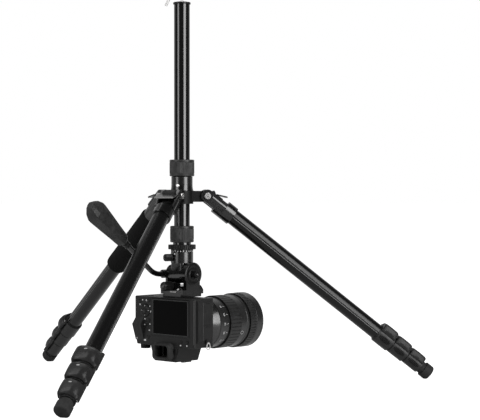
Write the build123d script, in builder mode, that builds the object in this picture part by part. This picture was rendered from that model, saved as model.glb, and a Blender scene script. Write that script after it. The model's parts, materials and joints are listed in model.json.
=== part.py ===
from build123d import *
import os
from math import cos, radians, sin

os.makedirs("parts", exist_ok=True)

# A mirrorless camera hung upside down from the reversed centre column of a folding tripod.
# Millimetres and degrees. +Z is up, the right leg points along +X, and the feet stand on z = 0.

# Clearances, each on one side of a fit
SEAT = 0.05
RUNNING = 0.08
FREE = 0.35

# Stance of the legs, each turned about the column by its angle
LEGS = {"right": 0, "rear": 120, "front": 240}
SPREAD = 51.6
PIVOT_RADIUS = 37.0

# Leg tubes, four to a leg, each sliding in the one before
TUBE_D = 24.0
TUBE_WALL = 1.2
TUBE_GAP = 0.3
TUBE_SHOWN = 285.0
TUBE_STAGGER = 15.0
GROOVE_WIDTH = 3.6
GROOVE_DEPTH = 0.5

# Flip-lever clamps at the lower ends of the first three tubes
CLAMPS = 3
CLAMP_LENGTH = 28.4
CLAMP_SPACING = 0.6
CLAMP_WALL = 2.6
CLAMP_SEAT = 15.0
CLAMP_PIN_D = 2.4
KNUCKLE_D = 6.0
KNUCKLE_LENGTH = 6.0
LEVER_RISE = 4.4
LEVER_INSET = 0.6
LEVER_CORNER = 6.0
LEVER_CHAMFER = 1.0

# Castings that hinge the legs on the spider
SLEEVE_WALL = 2.3
SLEEVE_START = 20.0
SLEEVE_END = 50.0
TUBE_START = 33.0
CHEEK_RADIUS = 9.5
CHEEK_WALL = 4.3
LUG_WIDTH = 19.8
LUG_RADIUS = 9.2
LEG_BOLT_D = 6.0
LEG_BOLT_HEAD_D = 9.6
LEG_BOLT_HEAD = 3.2
LEG_BOLT_SOCKET = 4.0

# Pull stops that set the leg angle
STOP_START = 9.8
STOP_LENGTH = 12.2
STOP_FLOOR = 5.6
STOP_HEIGHT = 5.4
STOP_TRAVEL = 6.0
STOP_TAB_WIDTH = 30.0
STOP_TAB_LENGTH = 14.2
STOP_TAB_RISE = 6.8
STOP_TAB_THICK = 1.7
STOP_TOOTH = 4.2
STOP_TOOTH_SPAN = 24.0
STOP_TOOTH_PLAY = 2.0

# Foam grip on the rear leg
FOAM_D = 33.4
FOAM_LENGTH = 130.0
FOAM_EDGE = 4.0

# Rubber feet
FOOT_NECK_D = 18.8
FOOT_NECK = 6.0
FOOT_D = 23.4
FOOT_LENGTH = 13.5
FOOT_EDGE = 3.0
FOOT_FLAT = 1.0
FOOT_SEAT = 10.0

# Spider, heights measured from the leg pivots
HUB_D = 34.0
HUB_BOTTOM = -12.0
HUB_TOP = 6.0
NECK_D = 31.7
NECK_FLARE = 7.0
ARM_TOP = 7.5
ARM_BOTTOM = -9.0
COLLET_WALL = 2.2
COLLET_LENGTH = 20.0

# Centre column and its lock collars
COLUMN_D = 23.5
COLUMN_WALL = 1.3
COLUMN_TOP = 286.7
CAP_LIP = 1.35
CAP_HEIGHT = 2.9
CAP_PLUG = 10.0
COLLAR_BOTTOM = 29.3
COLLAR_WALL = 4.5
COLLAR_HEIGHT = 24.9
COLLAR_GROOVES = 24
COLLAR_GROOVE_D = 1.6
TWIST_TOP = -45.0
TWIST_HEIGHT = 24.6
TWIST_WALL = 6.0
TWIST_LIP = 7.0
INNER_GAP = 0.3
INNER_WALL = 1.3
INNER_LENGTH = 230.0
HEAD_PLATE_D = 27.0
HEAD_PLATE_HEIGHT = 3.2
HEAD_STUD_D = 9.5
HEAD_STUD = 7.0

# Weight hook on the column's end
HOOK_WIRE = 4.0
HOOK_REACH = 24.0
HOOK_RISE = 14.0
HOOK_DROP = 19.0
HOOK_TURN = 14.9
HOOK_BEND = 5.5
HOOK_STEM = 5.0
HOOK_AZIMUTH = 171.4

# Pan and tilt head, built upright from its base disc and hung upside down
LENS_AZIMUTH = 38.9
BASE_DISC_D = 41.3
BASE_DISC = 6.8
BASE_KNURLS = 40
BASE_KNURL_D = 1.6
SCALE_RING = 3.8
PAN_D = 33.6
PAN_HEIGHT = 16.2
PAN_SPIGOT_D = 20.0
PAN_SPIGOT = 13.5
PAN_GAP = 0.3
TILT_HEIGHT = 44.0
TILT_BARREL_D = 28.0
TILT_BARREL = 33.0
TILT_SHAFT_D = 8.0
TILT_NECK = 26.0
CHEEK_GAP = 0.5
CHEEK_THICK = 4.0
DISC_D = 36.0
DISC_THICK = 6.5
DISC_STEM = 28.8
PLATFORM_HEIGHT = 61.0
PLATFORM_THICK = 6.0
PLATFORM_LENGTH = 44.0
PLATFORM_CREST = 36.0
JAW_WALL = 4.0
JAW_LIP = 3.0
JAW_FLANGE = 3.0
JAW_TOP = 2.8

# Head knobs
PAN_KNOB_D = 11.0
PAN_KNOB = 13.0
PAN_KNOB_EDGE = 2.0
PAN_KNOB_TURN = 17.0
TILT_KNOB_D = 10.0
TILT_KNOB = 9.0
TILT_KNOB_EDGE = 1.0
CLAMP_KNOB_D = 14.0
CLAMP_KNOB = 19.0
CLAMP_KNOB_EDGE = 3.0
CLAMP_BOSS_D = 12.0
KNOB_STEM_D = 6.0
KNOB_STEM = 8.0
KNOB_STANDOFF = 0.6

# Handle
ROD_D = 8.0
ROD_BOSS = 18.0
ROD_LEAD = 5.0
ROD_BEND = 34.0
ROD_TURN = 39.0
ROD_STRAIGHT = 69.0
ROD_SOCKET = 12.0
ROD_BOSS_WALL = 2.4
GRIP_LENGTH = 88.0
GRIP_BASE = 18.0
GRIP_WIDTH = 29.0
GRIP_DEPTH = 23.0
GRIP_WIDEST = 69.0
GRIP_TIP = 15.0
GRIP_BORE = 50.0

# Quick-release plate
PLATE_WIDTH = 38.0
PLATE_LENGTH = 44.0
PLATE_PAD = 4.4
PLATE_SCREW_D = 6.2
PLATE_SCREW_HEAD_D = 14.0
PLATE_SCREW_REACH = 6.0
PLATE_GAP = 0.2

# Camera, built upright from its base: X to its right hand, Y forward, tripod socket at the origin
BODY_LEFT = -58.6
BODY_RIGHT = 67.5
BODY_BACK = -35.0
BODY_FRONT = 9.0
BODY_HEIGHT = 72.5
BODY_CORNER = 5.0
BODY_EDGE = 1.6
SHOULDER_CUT = 7.0
SHOULDER_DROP = 28.0
HAND_GRIP_WIDTH = 30.0
HAND_GRIP_DEPTH = 23.0
HAND_GRIP_DROP = 6.5
HAND_GRIP_CORNER = 9.0
THUMB_LEFT = 46.0
THUMB_BOTTOM = 32.0
THUMB_DROP = 6.5
THUMB_PEAK = 42.0
THUMB_DEPTH = 7.5
HUMP_BASE = 62.0
HUMP_TOP = 44.0
HUMP_HEIGHT = 22.5
HUMP_FRONT = 11.5
HUMP_BACK = -36.0
HUMP_EDGE = 2.0
SHOE_WIDTH = 18.6
SHOE_MOUTH = 12.5
SHOE_LENGTH = 18.0
SHOE_SLOT = 2.0
SHOE_WALL = 1.5
SHOE_LIP = 1.0
SOCKET_DEPTH = 8.0
MOUNT_D = 62.0
MOUNT_HEIGHT = 3.0

# Tilting screen
SCREEN_WIDTH = 77.6
SCREEN_HEADROOM = 17.5
SCREEN_THICK = 5.6
SCREEN_CENTRE = -10.2
SCREEN_BOTTOM = 1.8
SCREEN_PROUD = 0.6

# Viewfinder
EYE_RISE = 7.5
EYECUP_WIDTH = 38.0
EYECUP_HEIGHT = 26.0
EYECUP_DEPTH = 10.0
EYECUP_OPENING_WIDTH = 24.0
EYECUP_OPENING_HEIGHT = 16.0
EYE_TUNNEL = 8.0

# Camera controls
MODE_DIAL_D = 18.0
MODE_DIAL_HEIGHT = 7.0
MODE_DIAL_X = 43.5
MODE_DIAL_Y = -6.0
EXPOSURE_DIAL_D = 15.0
EXPOSURE_DIAL_HEIGHT = 6.0
EXPOSURE_DIAL_X = 52.5
EXPOSURE_DIAL_Y = -25.0
DIAL_NOTCHES = 30
DIAL_NOTCH_D = 0.9
DIAL_PIN_D = 5.0
DIAL_PIN = 4.0
SHUTTER_D = 10.0
SHUTTER_HEIGHT = 4.5
SHUTTER_PROUD = 2.1
SHUTTER_TRAVEL = 1.5
SHUTTER_X = 51.0
SHUTTER_Y = 20.0
WHEEL_D = 19.6
WHEEL_THICK = 3.4
WHEEL_PROUD = 1.2
WHEEL_X = 42.7
WHEEL_Z = 21.0
BUTTON_D = 6.0
BUTTON_HEIGHT = 2.4
BUTTON_PROUD = 1.0
BUTTON_TRAVEL = 0.7
LOW_BUTTONS = ((54.5, 7.5), (35.5, 5.5), (35.5, 35.5), (39.5, 46.0))
TOP_BUTTONS = ((37.0, 11.5), (-32.0, 8.5), (-45.0, 8.5))

# Zoom lens, along +Y from its flange
LENS_CLEARANCE = 0.1
LENS_CORE_D = 68.0
REAR_STEP = 3.5
SCALE_STEP = 4.3
BAND_STEP = 6.3
FRONT_STEP = 8.5
LENS_SMOOTH = 35.0
LENS_SCALE = 18.0
ZOOM_RING = 24.0
LENS_BAND = 19.0
FOCUS_RING = 14.0
LENS_FRONT = 15.0
ZOOM_RING_STEP = 6.6
FOCUS_RING_STEP = 8.2
ZOOM_RIBS = 44
FOCUS_RIBS = 60
RIB_DEPTH = 0.9
RING_GAP = 0.4
FILTER_WALL = 1.5
FILTER_DEPTH = 5.0
HOOD_TAPER = 7.0
HOOD_DEPTH = 11.0
GLASS_THICK = 5.0
GLASS_BULGE = 3.5

# Strap rings at both ends of the camera
STRAP_LUG_D = 7.0
STRAP_LUG = 3.0
STRAP_LUG_Y = -8.0
STRAP_LUG_DROP = 8.5
STRAP_WIRE = 1.6
STRAP_RING_WIDTH = 10.0
STRAP_RING_HEIGHT = 12.0

# Sizes that follow from those above
SLOT_HALF = LUG_WIDTH / 2 + FREE
CHEEK_HALF = SLOT_HALF + CHEEK_WALL
SLEEVE_D = TUBE_D + 2 * SLEEVE_WALL
CLAMP_PITCH = CLAMP_LENGTH + CLAMP_SPACING
CLAMP_START = SLEEVE_END + TUBE_SHOWN
FOOT_START = CLAMP_START + CLAMPS * CLAMP_PITCH
FOOT_END = FOOT_START + FOOT_NECK + FOOT_LENGTH
PIVOT_Z = (
    (FOOT_END - FOOT_EDGE) * cos(radians(SPREAD))
    + (FOOT_D / 2 - FOOT_EDGE) * sin(radians(SPREAD))
    + FOOT_EDGE
    - FOOT_FLAT
)
NECK_TOP = COLLAR_BOTTOM - FREE
COLUMN_BORE_D = COLUMN_D + 2 * RUNNING
COLLET_D = COLUMN_BORE_D + 2 * COLLET_WALL
COLLAR_D = COLLET_D + 2 * (RUNNING + COLLAR_WALL)
INNER_D = COLUMN_D - 2 * (COLUMN_WALL + INNER_GAP)
TWIST_D = COLUMN_D + 2 * (RUNNING + TWIST_WALL)
HEAD_Z = TWIST_TOP - TWIST_HEIGHT - FREE - HEAD_PLATE_HEIGHT
CHANNEL_FLOOR = PLATFORM_HEIGHT + PLATFORM_THICK
JAW_LIP_BOTTOM = CHANNEL_FLOOR + JAW_FLANGE + 2 * PLATE_GAP
JAW_HEIGHT = JAW_LIP_BOTTOM + JAW_TOP
CLAMP_HALF = PLATE_WIDTH / 2 + PLATE_GAP + JAW_WALL
CAMERA_BASE = JAW_HEIGHT + PLATE_GAP + PLATE_PAD
TILT_CHEEK = TILT_BARREL / 2 + CHEEK_GAP
FLANGE_Y = BODY_FRONT + MOUNT_HEIGHT
HAND_GRIP_HEIGHT = BODY_HEIGHT - HAND_GRIP_DROP
SCREEN_HEIGHT = BODY_HEIGHT - SCREEN_HEADROOM
THUMB_TOP = BODY_HEIGHT - THUMB_DROP
EYE_HEIGHT = BODY_HEIGHT + EYE_RISE
STRAP_LUG_Z = BODY_HEIGHT - STRAP_LUG_DROP
BUTTONS = LOW_BUTTONS + tuple((x, BODY_HEIGHT - drop) for x, drop in TOP_BUTTONS)
LENS_REAR_D = LENS_CORE_D + 2 * REAR_STEP
LENS_SCALE_D = LENS_CORE_D + 2 * SCALE_STEP
LENS_BAND_D = LENS_CORE_D + 2 * BAND_STEP
LENS_FRONT_D = LENS_CORE_D + 2 * FRONT_STEP
LENS_HEIGHT = LENS_FRONT_D / 2 + LENS_CLEARANCE
ZOOM_RING_D = LENS_CORE_D + 2 * ZOOM_RING_STEP
FOCUS_RING_D = LENS_CORE_D + 2 * FOCUS_RING_STEP
FILTER_D = LENS_FRONT_D - 2 * FILTER_WALL
HOOD_THROAT_D = FILTER_D - 2 * HOOD_TAPER
ZOOM_START = LENS_SMOOTH + LENS_SCALE
BAND_START = ZOOM_START + ZOOM_RING
FOCUS_START = BAND_START + LENS_BAND
FRONT_START = FOCUS_START + FOCUS_RING
LENS_LENGTH = FRONT_START + LENS_FRONT


def tube_d(section):
    """Outer diameter of a leg section, counted from 0 at the top."""
    return TUBE_D - 2 * section * (TUBE_WALL + TUBE_GAP)


def clamp_start(section):
    """Distance from the pivot to the clamp at a section's lower end."""
    return CLAMP_START + section * CLAMP_PITCH


def leg_plane(angle):
    """A leg's own frame: origin on its pivot, Z down the leg, X out of its upper side."""
    turn, lean = radians(angle), radians(SPREAD)
    out = Vector(cos(turn), sin(turn), 0)
    up = Vector(0, 0, 1)
    return Plane(
        origin=out * PIVOT_RADIUS + up * PIVOT_Z,
        x_dir=out * cos(lean) + up * sin(lean),
        z_dir=out * sin(lean) - up * cos(lean),
    )


def hung_plane(drop):
    """Frame of the head and camera: Z hangs down from a height under the pivots, Y along the lens."""
    turn = radians(LENS_AZIMUTH)
    return Plane(
        origin=(0, 0, PIVOT_Z + drop),
        x_dir=(-sin(turn), cos(turn), 0),
        z_dir=(0, 0, -1),
    )


def upright(profile_y, height):
    """A plane across the camera or head at a depth, seen from behind: X right and Z up."""
    return Plane(origin=(0, profile_y, height), x_dir=(1, 0, 0), z_dir=(0, -1, 0))


# Spider that carries the legs and guides the column
with BuildPart() as spider:
    with BuildSketch(Plane.XZ):
        with BuildLine():
            Polyline(
                (0, HUB_BOTTOM),
                (HUB_D / 2, HUB_BOTTOM),
                (HUB_D / 2, HUB_TOP),
                (NECK_D / 2, HUB_TOP + NECK_FLARE),
                (NECK_D / 2, NECK_TOP),
                (COLLET_D / 2, NECK_TOP),
                (COLLET_D / 2, NECK_TOP + COLLET_LENGTH),
                (0, NECK_TOP + COLLET_LENGTH),
                close=True,
            )
        make_face()
    revolve(axis=Axis.Z)
    with BuildSketch(Plane.XY.offset(ARM_BOTTOM)):
        with PolarLocations(0, len(LEGS)):
            with Locations((PIVOT_RADIUS / 2, 0)):
                Rectangle(PIVOT_RADIUS, LUG_WIDTH)
    extrude(amount=ARM_TOP - ARM_BOTTOM)
    for angle in LEGS.values():
        turn = radians(angle)
        pivot = Plane(
            origin=(PIVOT_RADIUS * cos(turn), PIVOT_RADIUS * sin(turn), 0),
            x_dir=(cos(turn), sin(turn), 0),
            z_dir=(sin(turn), -cos(turn), 0),
        )
        nose = STOP_FLOOR + STOP_HEIGHT
        tooth_from = SPREAD - 90 + Vector(STOP_START, nose).get_angle(Vector(1, 0)) + STOP_TOOTH_PLAY
        tooth_tip = LUG_RADIUS + STOP_TOOTH
        with BuildSketch(pivot):
            Circle(LUG_RADIUS)
        extrude(amount=LUG_WIDTH / 2, both=True)
        with BuildSketch(pivot):
            with BuildLine():
                PolarLine((0, 0), tooth_tip, tooth_from)
                tip = CenterArc((0, 0), tooth_tip, tooth_from, STOP_TOOTH_SPAN)
                Line(tip @ 1, (0, 0))
            make_face()
        extrude(amount=LUG_WIDTH / 2, both=True)
        with BuildSketch(pivot):
            Circle(LEG_BOLT_D / 2 + SEAT)
        extrude(amount=LUG_WIDTH, both=True, mode=Mode.SUBTRACT)
    with BuildSketch(Plane.XY.offset(HUB_BOTTOM)):
        Circle(COLUMN_BORE_D / 2)
    extrude(amount=NECK_TOP + COLLET_LENGTH - HUB_BOTTOM, mode=Mode.SUBTRACT)

# One hinge bolt with its two heads, along the pivot
with BuildPart() as leg_bolt:
    with BuildSketch(Plane.XZ):
        Circle(LEG_BOLT_D / 2)
    extrude(amount=CHEEK_HALF + FREE, both=True)
    for side in (1, -1):
        with BuildSketch(Plane.XZ.offset(side * (CHEEK_HALF + FREE))):
            Circle(LEG_BOLT_HEAD_D / 2)
        extrude(amount=side * LEG_BOLT_HEAD)
        with BuildSketch(Plane.XZ.offset(side * (CHEEK_HALF + FREE + LEG_BOLT_HEAD))):
            RegularPolygon(LEG_BOLT_SOCKET / 2, 6)
        extrude(amount=-side * LEG_BOLT_HEAD / 2, mode=Mode.SUBTRACT)

# Casting at the top of a leg: a fork over the spider's lug and a sleeve for the tube
with BuildPart() as leg_top:
    with BuildSketch(Plane.XZ):
        Circle(CHEEK_RADIUS)
        with Locations((0, TUBE_START / 2)):
            Rectangle(2 * CHEEK_RADIUS, TUBE_START)
    extrude(amount=CHEEK_HALF, both=True)
    with BuildSketch(Plane.XY.offset(SLEEVE_START)):
        Circle(SLEEVE_D / 2)
    extrude(amount=SLEEVE_END - SLEEVE_START)
    with BuildSketch(Plane.XZ):
        with Locations((0, SLEEVE_START - FREE)):
            Rectangle(2 * SLEEVE_D, 2 * SLEEVE_START, align=(Align.CENTER, Align.MAX))
        with Locations((STOP_FLOOR - FREE, 0)):
            Rectangle(
                SLEEVE_D,
                STOP_START + STOP_LENGTH + STOP_TRAVEL + FREE,
                align=(Align.MIN, Align.MIN),
            )
    extrude(amount=SLOT_HALF, both=True, mode=Mode.SUBTRACT)
    with BuildSketch(Plane.XZ):
        with Locations((CHEEK_RADIUS, STOP_START + STOP_TAB_LENGTH + STOP_TRAVEL + 2 * STOP_TAB_THICK)):
            Rectangle(SLEEVE_D, 4 * SLEEVE_START, align=(Align.MIN, Align.MAX))
    extrude(amount=SLEEVE_D, both=True, mode=Mode.SUBTRACT)
    with BuildSketch(Plane.XY.offset(TUBE_START)):
        Circle(TUBE_D / 2 + SEAT)
    extrude(amount=SLEEVE_END - TUBE_START, mode=Mode.SUBTRACT)
    with BuildSketch(Plane.XZ):
        Circle(LEG_BOLT_D / 2 + RUNNING)
    extrude(amount=2 * CHEEK_HALF, both=True, mode=Mode.SUBTRACT)

# Pull stop: a block in the casting's channel with a finger tab
with BuildPart() as angle_stop:
    with BuildSketch(Plane.XZ):
        with Locations((STOP_FLOOR, STOP_START)):
            Rectangle(STOP_HEIGHT, STOP_LENGTH, align=(Align.MIN, Align.MIN))
    extrude(amount=LUG_WIDTH / 2 - FREE, both=True)
    with BuildSketch(Plane.XZ):
        with BuildLine():
            stop_top = STOP_FLOOR + STOP_HEIGHT
            Polyline(
                (stop_top - STOP_TAB_THICK, STOP_START),
                (stop_top, STOP_START),
                (stop_top + STOP_TAB_RISE, STOP_START + STOP_TAB_LENGTH),
                (stop_top + STOP_TAB_RISE - STOP_TAB_THICK, STOP_START + STOP_TAB_LENGTH + STOP_TAB_THICK),
                (stop_top, STOP_START + 2 * STOP_TAB_THICK),
                (stop_top - STOP_TAB_THICK, STOP_START + 2 * STOP_TAB_THICK),
                close=True,
            )
        make_face()
    extrude(amount=LUG_WIDTH / 2 - FREE, both=True)
    with BuildSketch(Plane.XZ):
        with BuildLine():
            Polyline(
                (stop_top, STOP_START),
                (stop_top + STOP_TAB_RISE, STOP_START + STOP_TAB_LENGTH),
                (stop_top + STOP_TAB_RISE - STOP_TAB_THICK, STOP_START + STOP_TAB_LENGTH + STOP_TAB_THICK),
                (stop_top, STOP_START + 2 * STOP_TAB_THICK),
                close=True,
            )
        make_face()
    extrude(amount=STOP_TAB_WIDTH / 2, both=True)

# Leg tubes with their clamps, levers and hinge pins
leg_sections = []
lock_levers = []
for section in range(CLAMPS + 1):
    top = TUBE_START + section * TUBE_STAGGER
    last = section == CLAMPS
    bottom = FOOT_START + FOOT_SEAT if last else clamp_start(section) + CLAMP_SEAT
    with BuildPart() as leg_tube:
        with BuildSketch(Plane.XY.offset(top)):
            Circle(tube_d(section) / 2)
            with Locations((0, tube_d(section) / 2), (0, -tube_d(section) / 2)):
                Rectangle(GROOVE_WIDTH, 2 * GROOVE_DEPTH, mode=Mode.SUBTRACT)
            Circle(tube_d(section) / 2 - TUBE_WALL, mode=Mode.SUBTRACT)
        extrude(amount=bottom - top)
    if last:
        leg_sections.append(leg_tube.part)
        continue
    start = clamp_start(section)
    collar_r = tube_d(section) / 2 + CLAMP_WALL
    hinge = (KNUCKLE_D / 4, -(collar_r + KNUCKLE_D / 2 + FREE))
    far_knuckle = start + CLAMP_LENGTH - KNUCKLE_LENGTH
    with BuildPart() as clamp_collar:
        with BuildSketch(Plane.XY.offset(start)):
            Circle(collar_r)
        extrude(amount=CLAMP_LENGTH)
        with BuildSketch(Plane.XY.offset(start), Plane.XY.offset(far_knuckle)):
            with Locations(hinge):
                Circle(KNUCKLE_D / 2)
                Rectangle(KNUCKLE_D, KNUCKLE_D + CLAMP_WALL / 2, align=(Align.CENTER, Align.MIN))
        extrude(amount=KNUCKLE_LENGTH)
        with BuildSketch(Plane.XY.offset(start)):
            Circle(tube_d(section) / 2 + SEAT)
        extrude(amount=CLAMP_SEAT, mode=Mode.SUBTRACT)
        with BuildSketch(Plane.XY.offset(start)):
            Circle(tube_d(section + 1) / 2 + TUBE_GAP)
        extrude(amount=CLAMP_LENGTH, mode=Mode.SUBTRACT)
        with BuildSketch(Plane.XY.offset(start)):
            with Locations(hinge):
                Circle(CLAMP_PIN_D / 2 + SEAT)
        extrude(amount=CLAMP_LENGTH, mode=Mode.SUBTRACT)
    with BuildPart() as clamp_pin:
        with BuildSketch(Plane.XY.offset(start)):
            with Locations(hinge):
                Circle(CLAMP_PIN_D / 2)
        extrude(amount=CLAMP_LENGTH)
    leg_sections.append(Compound([leg_tube.part, clamp_collar.part, clamp_pin.part]))
    with BuildPart() as lock_lever:
        with BuildSketch(Plane.XY.offset(start + LEVER_INSET)):
            with Locations((0, hinge[1])):
                Rectangle(
                    collar_r + LEVER_RISE,
                    collar_r - hinge[1] + KNUCKLE_D / 4,
                    align=(Align.MIN, Align.MIN),
                )
            with Locations(hinge):
                Circle(KNUCKLE_D / 2)
            Circle(collar_r + FREE, mode=Mode.SUBTRACT)
        extrude(amount=CLAMP_LENGTH - 2 * LEVER_INSET)
        outer = lock_lever.faces().filter_by(Axis.X).sort_by(Axis.X)[-1]
        fillet(outer.edges().filter_by(Axis.Z), LEVER_CORNER)
        crown = lock_lever.faces().filter_by(Axis.X).sort_by(Axis.X)[-1]
        chamfer(crown.edges().filter_by(Axis.Y), LEVER_CHAMFER)
        with BuildSketch(Plane.XY.offset(start), Plane.XY.offset(far_knuckle - FREE)):
            with Locations((hinge[0] + KNUCKLE_D / 2 + FREE, hinge[1] + KNUCKLE_D + CLAMP_WALL)):
                Rectangle(4 * KNUCKLE_D, 4 * KNUCKLE_D, align=(Align.MAX, Align.MAX))
        extrude(amount=KNUCKLE_LENGTH + FREE, mode=Mode.SUBTRACT)
        with BuildSketch(Plane.XY.offset(start)):
            with Locations(hinge):
                Circle(CLAMP_PIN_D / 2 + RUNNING)
        extrude(amount=CLAMP_LENGTH, mode=Mode.SUBTRACT)
    lock_levers.append(lock_lever.part)

# Rubber foot, worn flat where it stands
with BuildPart() as leg_foot:
    with BuildSketch(Plane.XY.offset(FOOT_START)):
        Circle(FOOT_NECK_D / 2)
    extrude(amount=FOOT_NECK)
    with BuildSketch(Plane.XY.offset(FOOT_START + FOOT_NECK)):
        Circle(FOOT_D / 2)
    extrude(amount=FOOT_LENGTH)
    fillet(leg_foot.edges().filter_by(GeomType.CIRCLE).sort_by(Axis.Z)[-1], FOOT_EDGE)
    with BuildSketch(Plane.XY.offset(FOOT_START)):
        Circle(tube_d(CLAMPS) / 2 + SEAT)
    extrude(amount=FOOT_SEAT, mode=Mode.SUBTRACT)
    down = Vector(-sin(radians(SPREAD)), 0, cos(radians(SPREAD)))
    split(bisect_by=Plane(origin=down * PIVOT_Z, z_dir=down), keep=Keep.BOTTOM)

# Foam grip round the rear leg's first tube
with BuildPart() as foam_grip:
    with BuildSketch(Plane.XY.offset(SLEEVE_END)):
        Circle(FOAM_D / 2)
    extrude(amount=FOAM_LENGTH)
    fillet(foam_grip.edges().filter_by(GeomType.CIRCLE), FOAM_EDGE)
    with BuildSketch(Plane.XY.offset(SLEEVE_END)):
        Circle(TUBE_D / 2 + SEAT)
    extrude(amount=FOAM_LENGTH, mode=Mode.SUBTRACT)

# Collar that locks the column in the spider
with BuildPart() as column_lock_collar:
    with BuildSketch(Plane.XY.offset(COLLAR_BOTTOM)):
        Circle(COLLAR_D / 2)
    extrude(amount=COLLAR_HEIGHT)
    chamfer(column_lock_collar.edges().filter_by(GeomType.CIRCLE), COLLAR_GROOVE_D)
    with BuildSketch(Plane.XY.offset(COLLAR_BOTTOM)):
        with PolarLocations(COLLAR_D / 2, COLLAR_GROOVES):
            Circle(COLLAR_GROOVE_D / 2)
    extrude(amount=COLLAR_HEIGHT, mode=Mode.SUBTRACT)
    with BuildSketch(Plane.XY.offset(COLLAR_BOTTOM)):
        Circle(COLLET_D / 2 + RUNNING)
    extrude(amount=COLLET_LENGTH, mode=Mode.SUBTRACT)
    with BuildSketch(Plane.XY.offset(COLLAR_BOTTOM)):
        Circle(COLUMN_D / 2 + FREE)
    extrude(amount=COLLAR_HEIGHT, mode=Mode.SUBTRACT)

# Column tube, reversed so that its end cap is on top
with BuildPart() as outer_tube:
    tube_bottom = TWIST_TOP - TWIST_HEIGHT + TWIST_LIP
    with BuildSketch(Plane.XY.offset(tube_bottom)):
        Circle(COLUMN_D / 2)
        Circle(COLUMN_D / 2 - COLUMN_WALL, mode=Mode.SUBTRACT)
    extrude(amount=COLUMN_TOP - tube_bottom)

with BuildPart() as end_cap:
    with BuildSketch(Plane.XY.offset(COLUMN_TOP)):
        Circle(COLUMN_D / 2 + CAP_LIP)
    extrude(amount=CAP_HEIGHT)
    with BuildSketch(Plane.XY.offset(COLUMN_TOP)):
        Circle(COLUMN_D / 2 - COLUMN_WALL - SEAT)
    extrude(amount=-CAP_PLUG)
    with BuildSketch(Plane.XY.offset(COLUMN_TOP + CAP_HEIGHT)):
        Circle(HOOK_WIRE / 2 + RUNNING)
    extrude(amount=-HOOK_STEM - FREE, mode=Mode.SUBTRACT)

# Hook on the end cap, which swivels on its stem
with BuildPart() as weight_hook:
    cap_top = COLUMN_TOP + CAP_HEIGHT
    side = radians(HOOK_AZIMUTH)
    hook_plane = Plane(
        origin=(0, 0, cap_top),
        x_dir=(cos(side), sin(side), 0),
        z_dir=(sin(side), -cos(side), 0),
    )
    with BuildLine(hook_plane) as hook_path:
        FilletPolyline(
            (0, -HOOK_STEM),
            (0, HOOK_RISE),
            (HOOK_TURN, HOOK_RISE),
            (HOOK_REACH, HOOK_RISE - HOOK_DROP),
            radius=HOOK_BEND,
        )
    with BuildSketch(Plane.XY.offset(cap_top - HOOK_STEM)):
        Circle(HOOK_WIRE / 2)
    sweep(path=hook_path.line)

# Twist collar that locks the inner column
with BuildPart() as column_twist_collar:
    with BuildSketch(Plane.XY.offset(TWIST_TOP - TWIST_HEIGHT)):
        Circle(TWIST_D / 2)
    extrude(amount=TWIST_HEIGHT)
    chamfer(column_twist_collar.edges().filter_by(GeomType.CIRCLE), COLLAR_GROOVE_D)
    with BuildSketch(Plane.XY.offset(TWIST_TOP - TWIST_HEIGHT)):
        with PolarLocations(TWIST_D / 2, COLLAR_GROOVES):
            Circle(COLLAR_GROOVE_D / 2)
    extrude(amount=TWIST_HEIGHT, mode=Mode.SUBTRACT)
    with BuildSketch(Plane.XY.offset(TWIST_TOP)):
        Circle(COLUMN_D / 2 + RUNNING)
    extrude(amount=-(TWIST_HEIGHT - TWIST_LIP + FREE), mode=Mode.SUBTRACT)
    with BuildSketch(Plane.XY.offset(TWIST_TOP)):
        Circle(INNER_D / 2 + FREE)
    extrude(amount=-TWIST_HEIGHT, mode=Mode.SUBTRACT)

# Inner column with the plate that the head screws to
with BuildPart() as inner_tube:
    inner_bottom = HEAD_Z + HEAD_PLATE_HEIGHT
    with BuildSketch(Plane.XY.offset(inner_bottom)):
        Circle(INNER_D / 2)
        Circle(INNER_D / 2 - INNER_WALL, mode=Mode.SUBTRACT)
    extrude(amount=INNER_LENGTH)

with BuildPart() as head_plate:
    with BuildSketch(Plane.XY.offset(HEAD_Z)):
        Circle(HEAD_PLATE_D / 2)
    extrude(amount=HEAD_PLATE_HEIGHT)
    with BuildSketch(Plane.XY.offset(inner_bottom)):
        Circle(INNER_D / 2 - INNER_WALL - SEAT)
    extrude(amount=HEAD_STUD)
    with BuildSketch(Plane.XY.offset(HEAD_Z)):
        Circle(HEAD_STUD_D / 2)
    extrude(amount=-HEAD_STUD)

# Head base: a knurled disc, a degree ring and the spigot that the head pans on
with BuildPart() as pan_base:
    with BuildSketch():
        Circle(BASE_DISC_D / 2)
        with PolarLocations(BASE_DISC_D / 2, BASE_KNURLS):
            Circle(BASE_KNURL_D / 2, mode=Mode.SUBTRACT)
    extrude(amount=BASE_DISC)
    with BuildSketch(Plane.XY.offset(BASE_DISC)):
        Circle(PAN_D / 2)
    extrude(amount=SCALE_RING)
    with BuildSketch(Plane.XY.offset(BASE_DISC + SCALE_RING)):
        Circle(PAN_SPIGOT_D / 2)
    extrude(amount=PAN_SPIGOT)
    with BuildSketch():
        Circle(HEAD_STUD_D / 2 + SEAT)
    extrude(amount=HEAD_STUD + FREE, mode=Mode.SUBTRACT)

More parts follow.
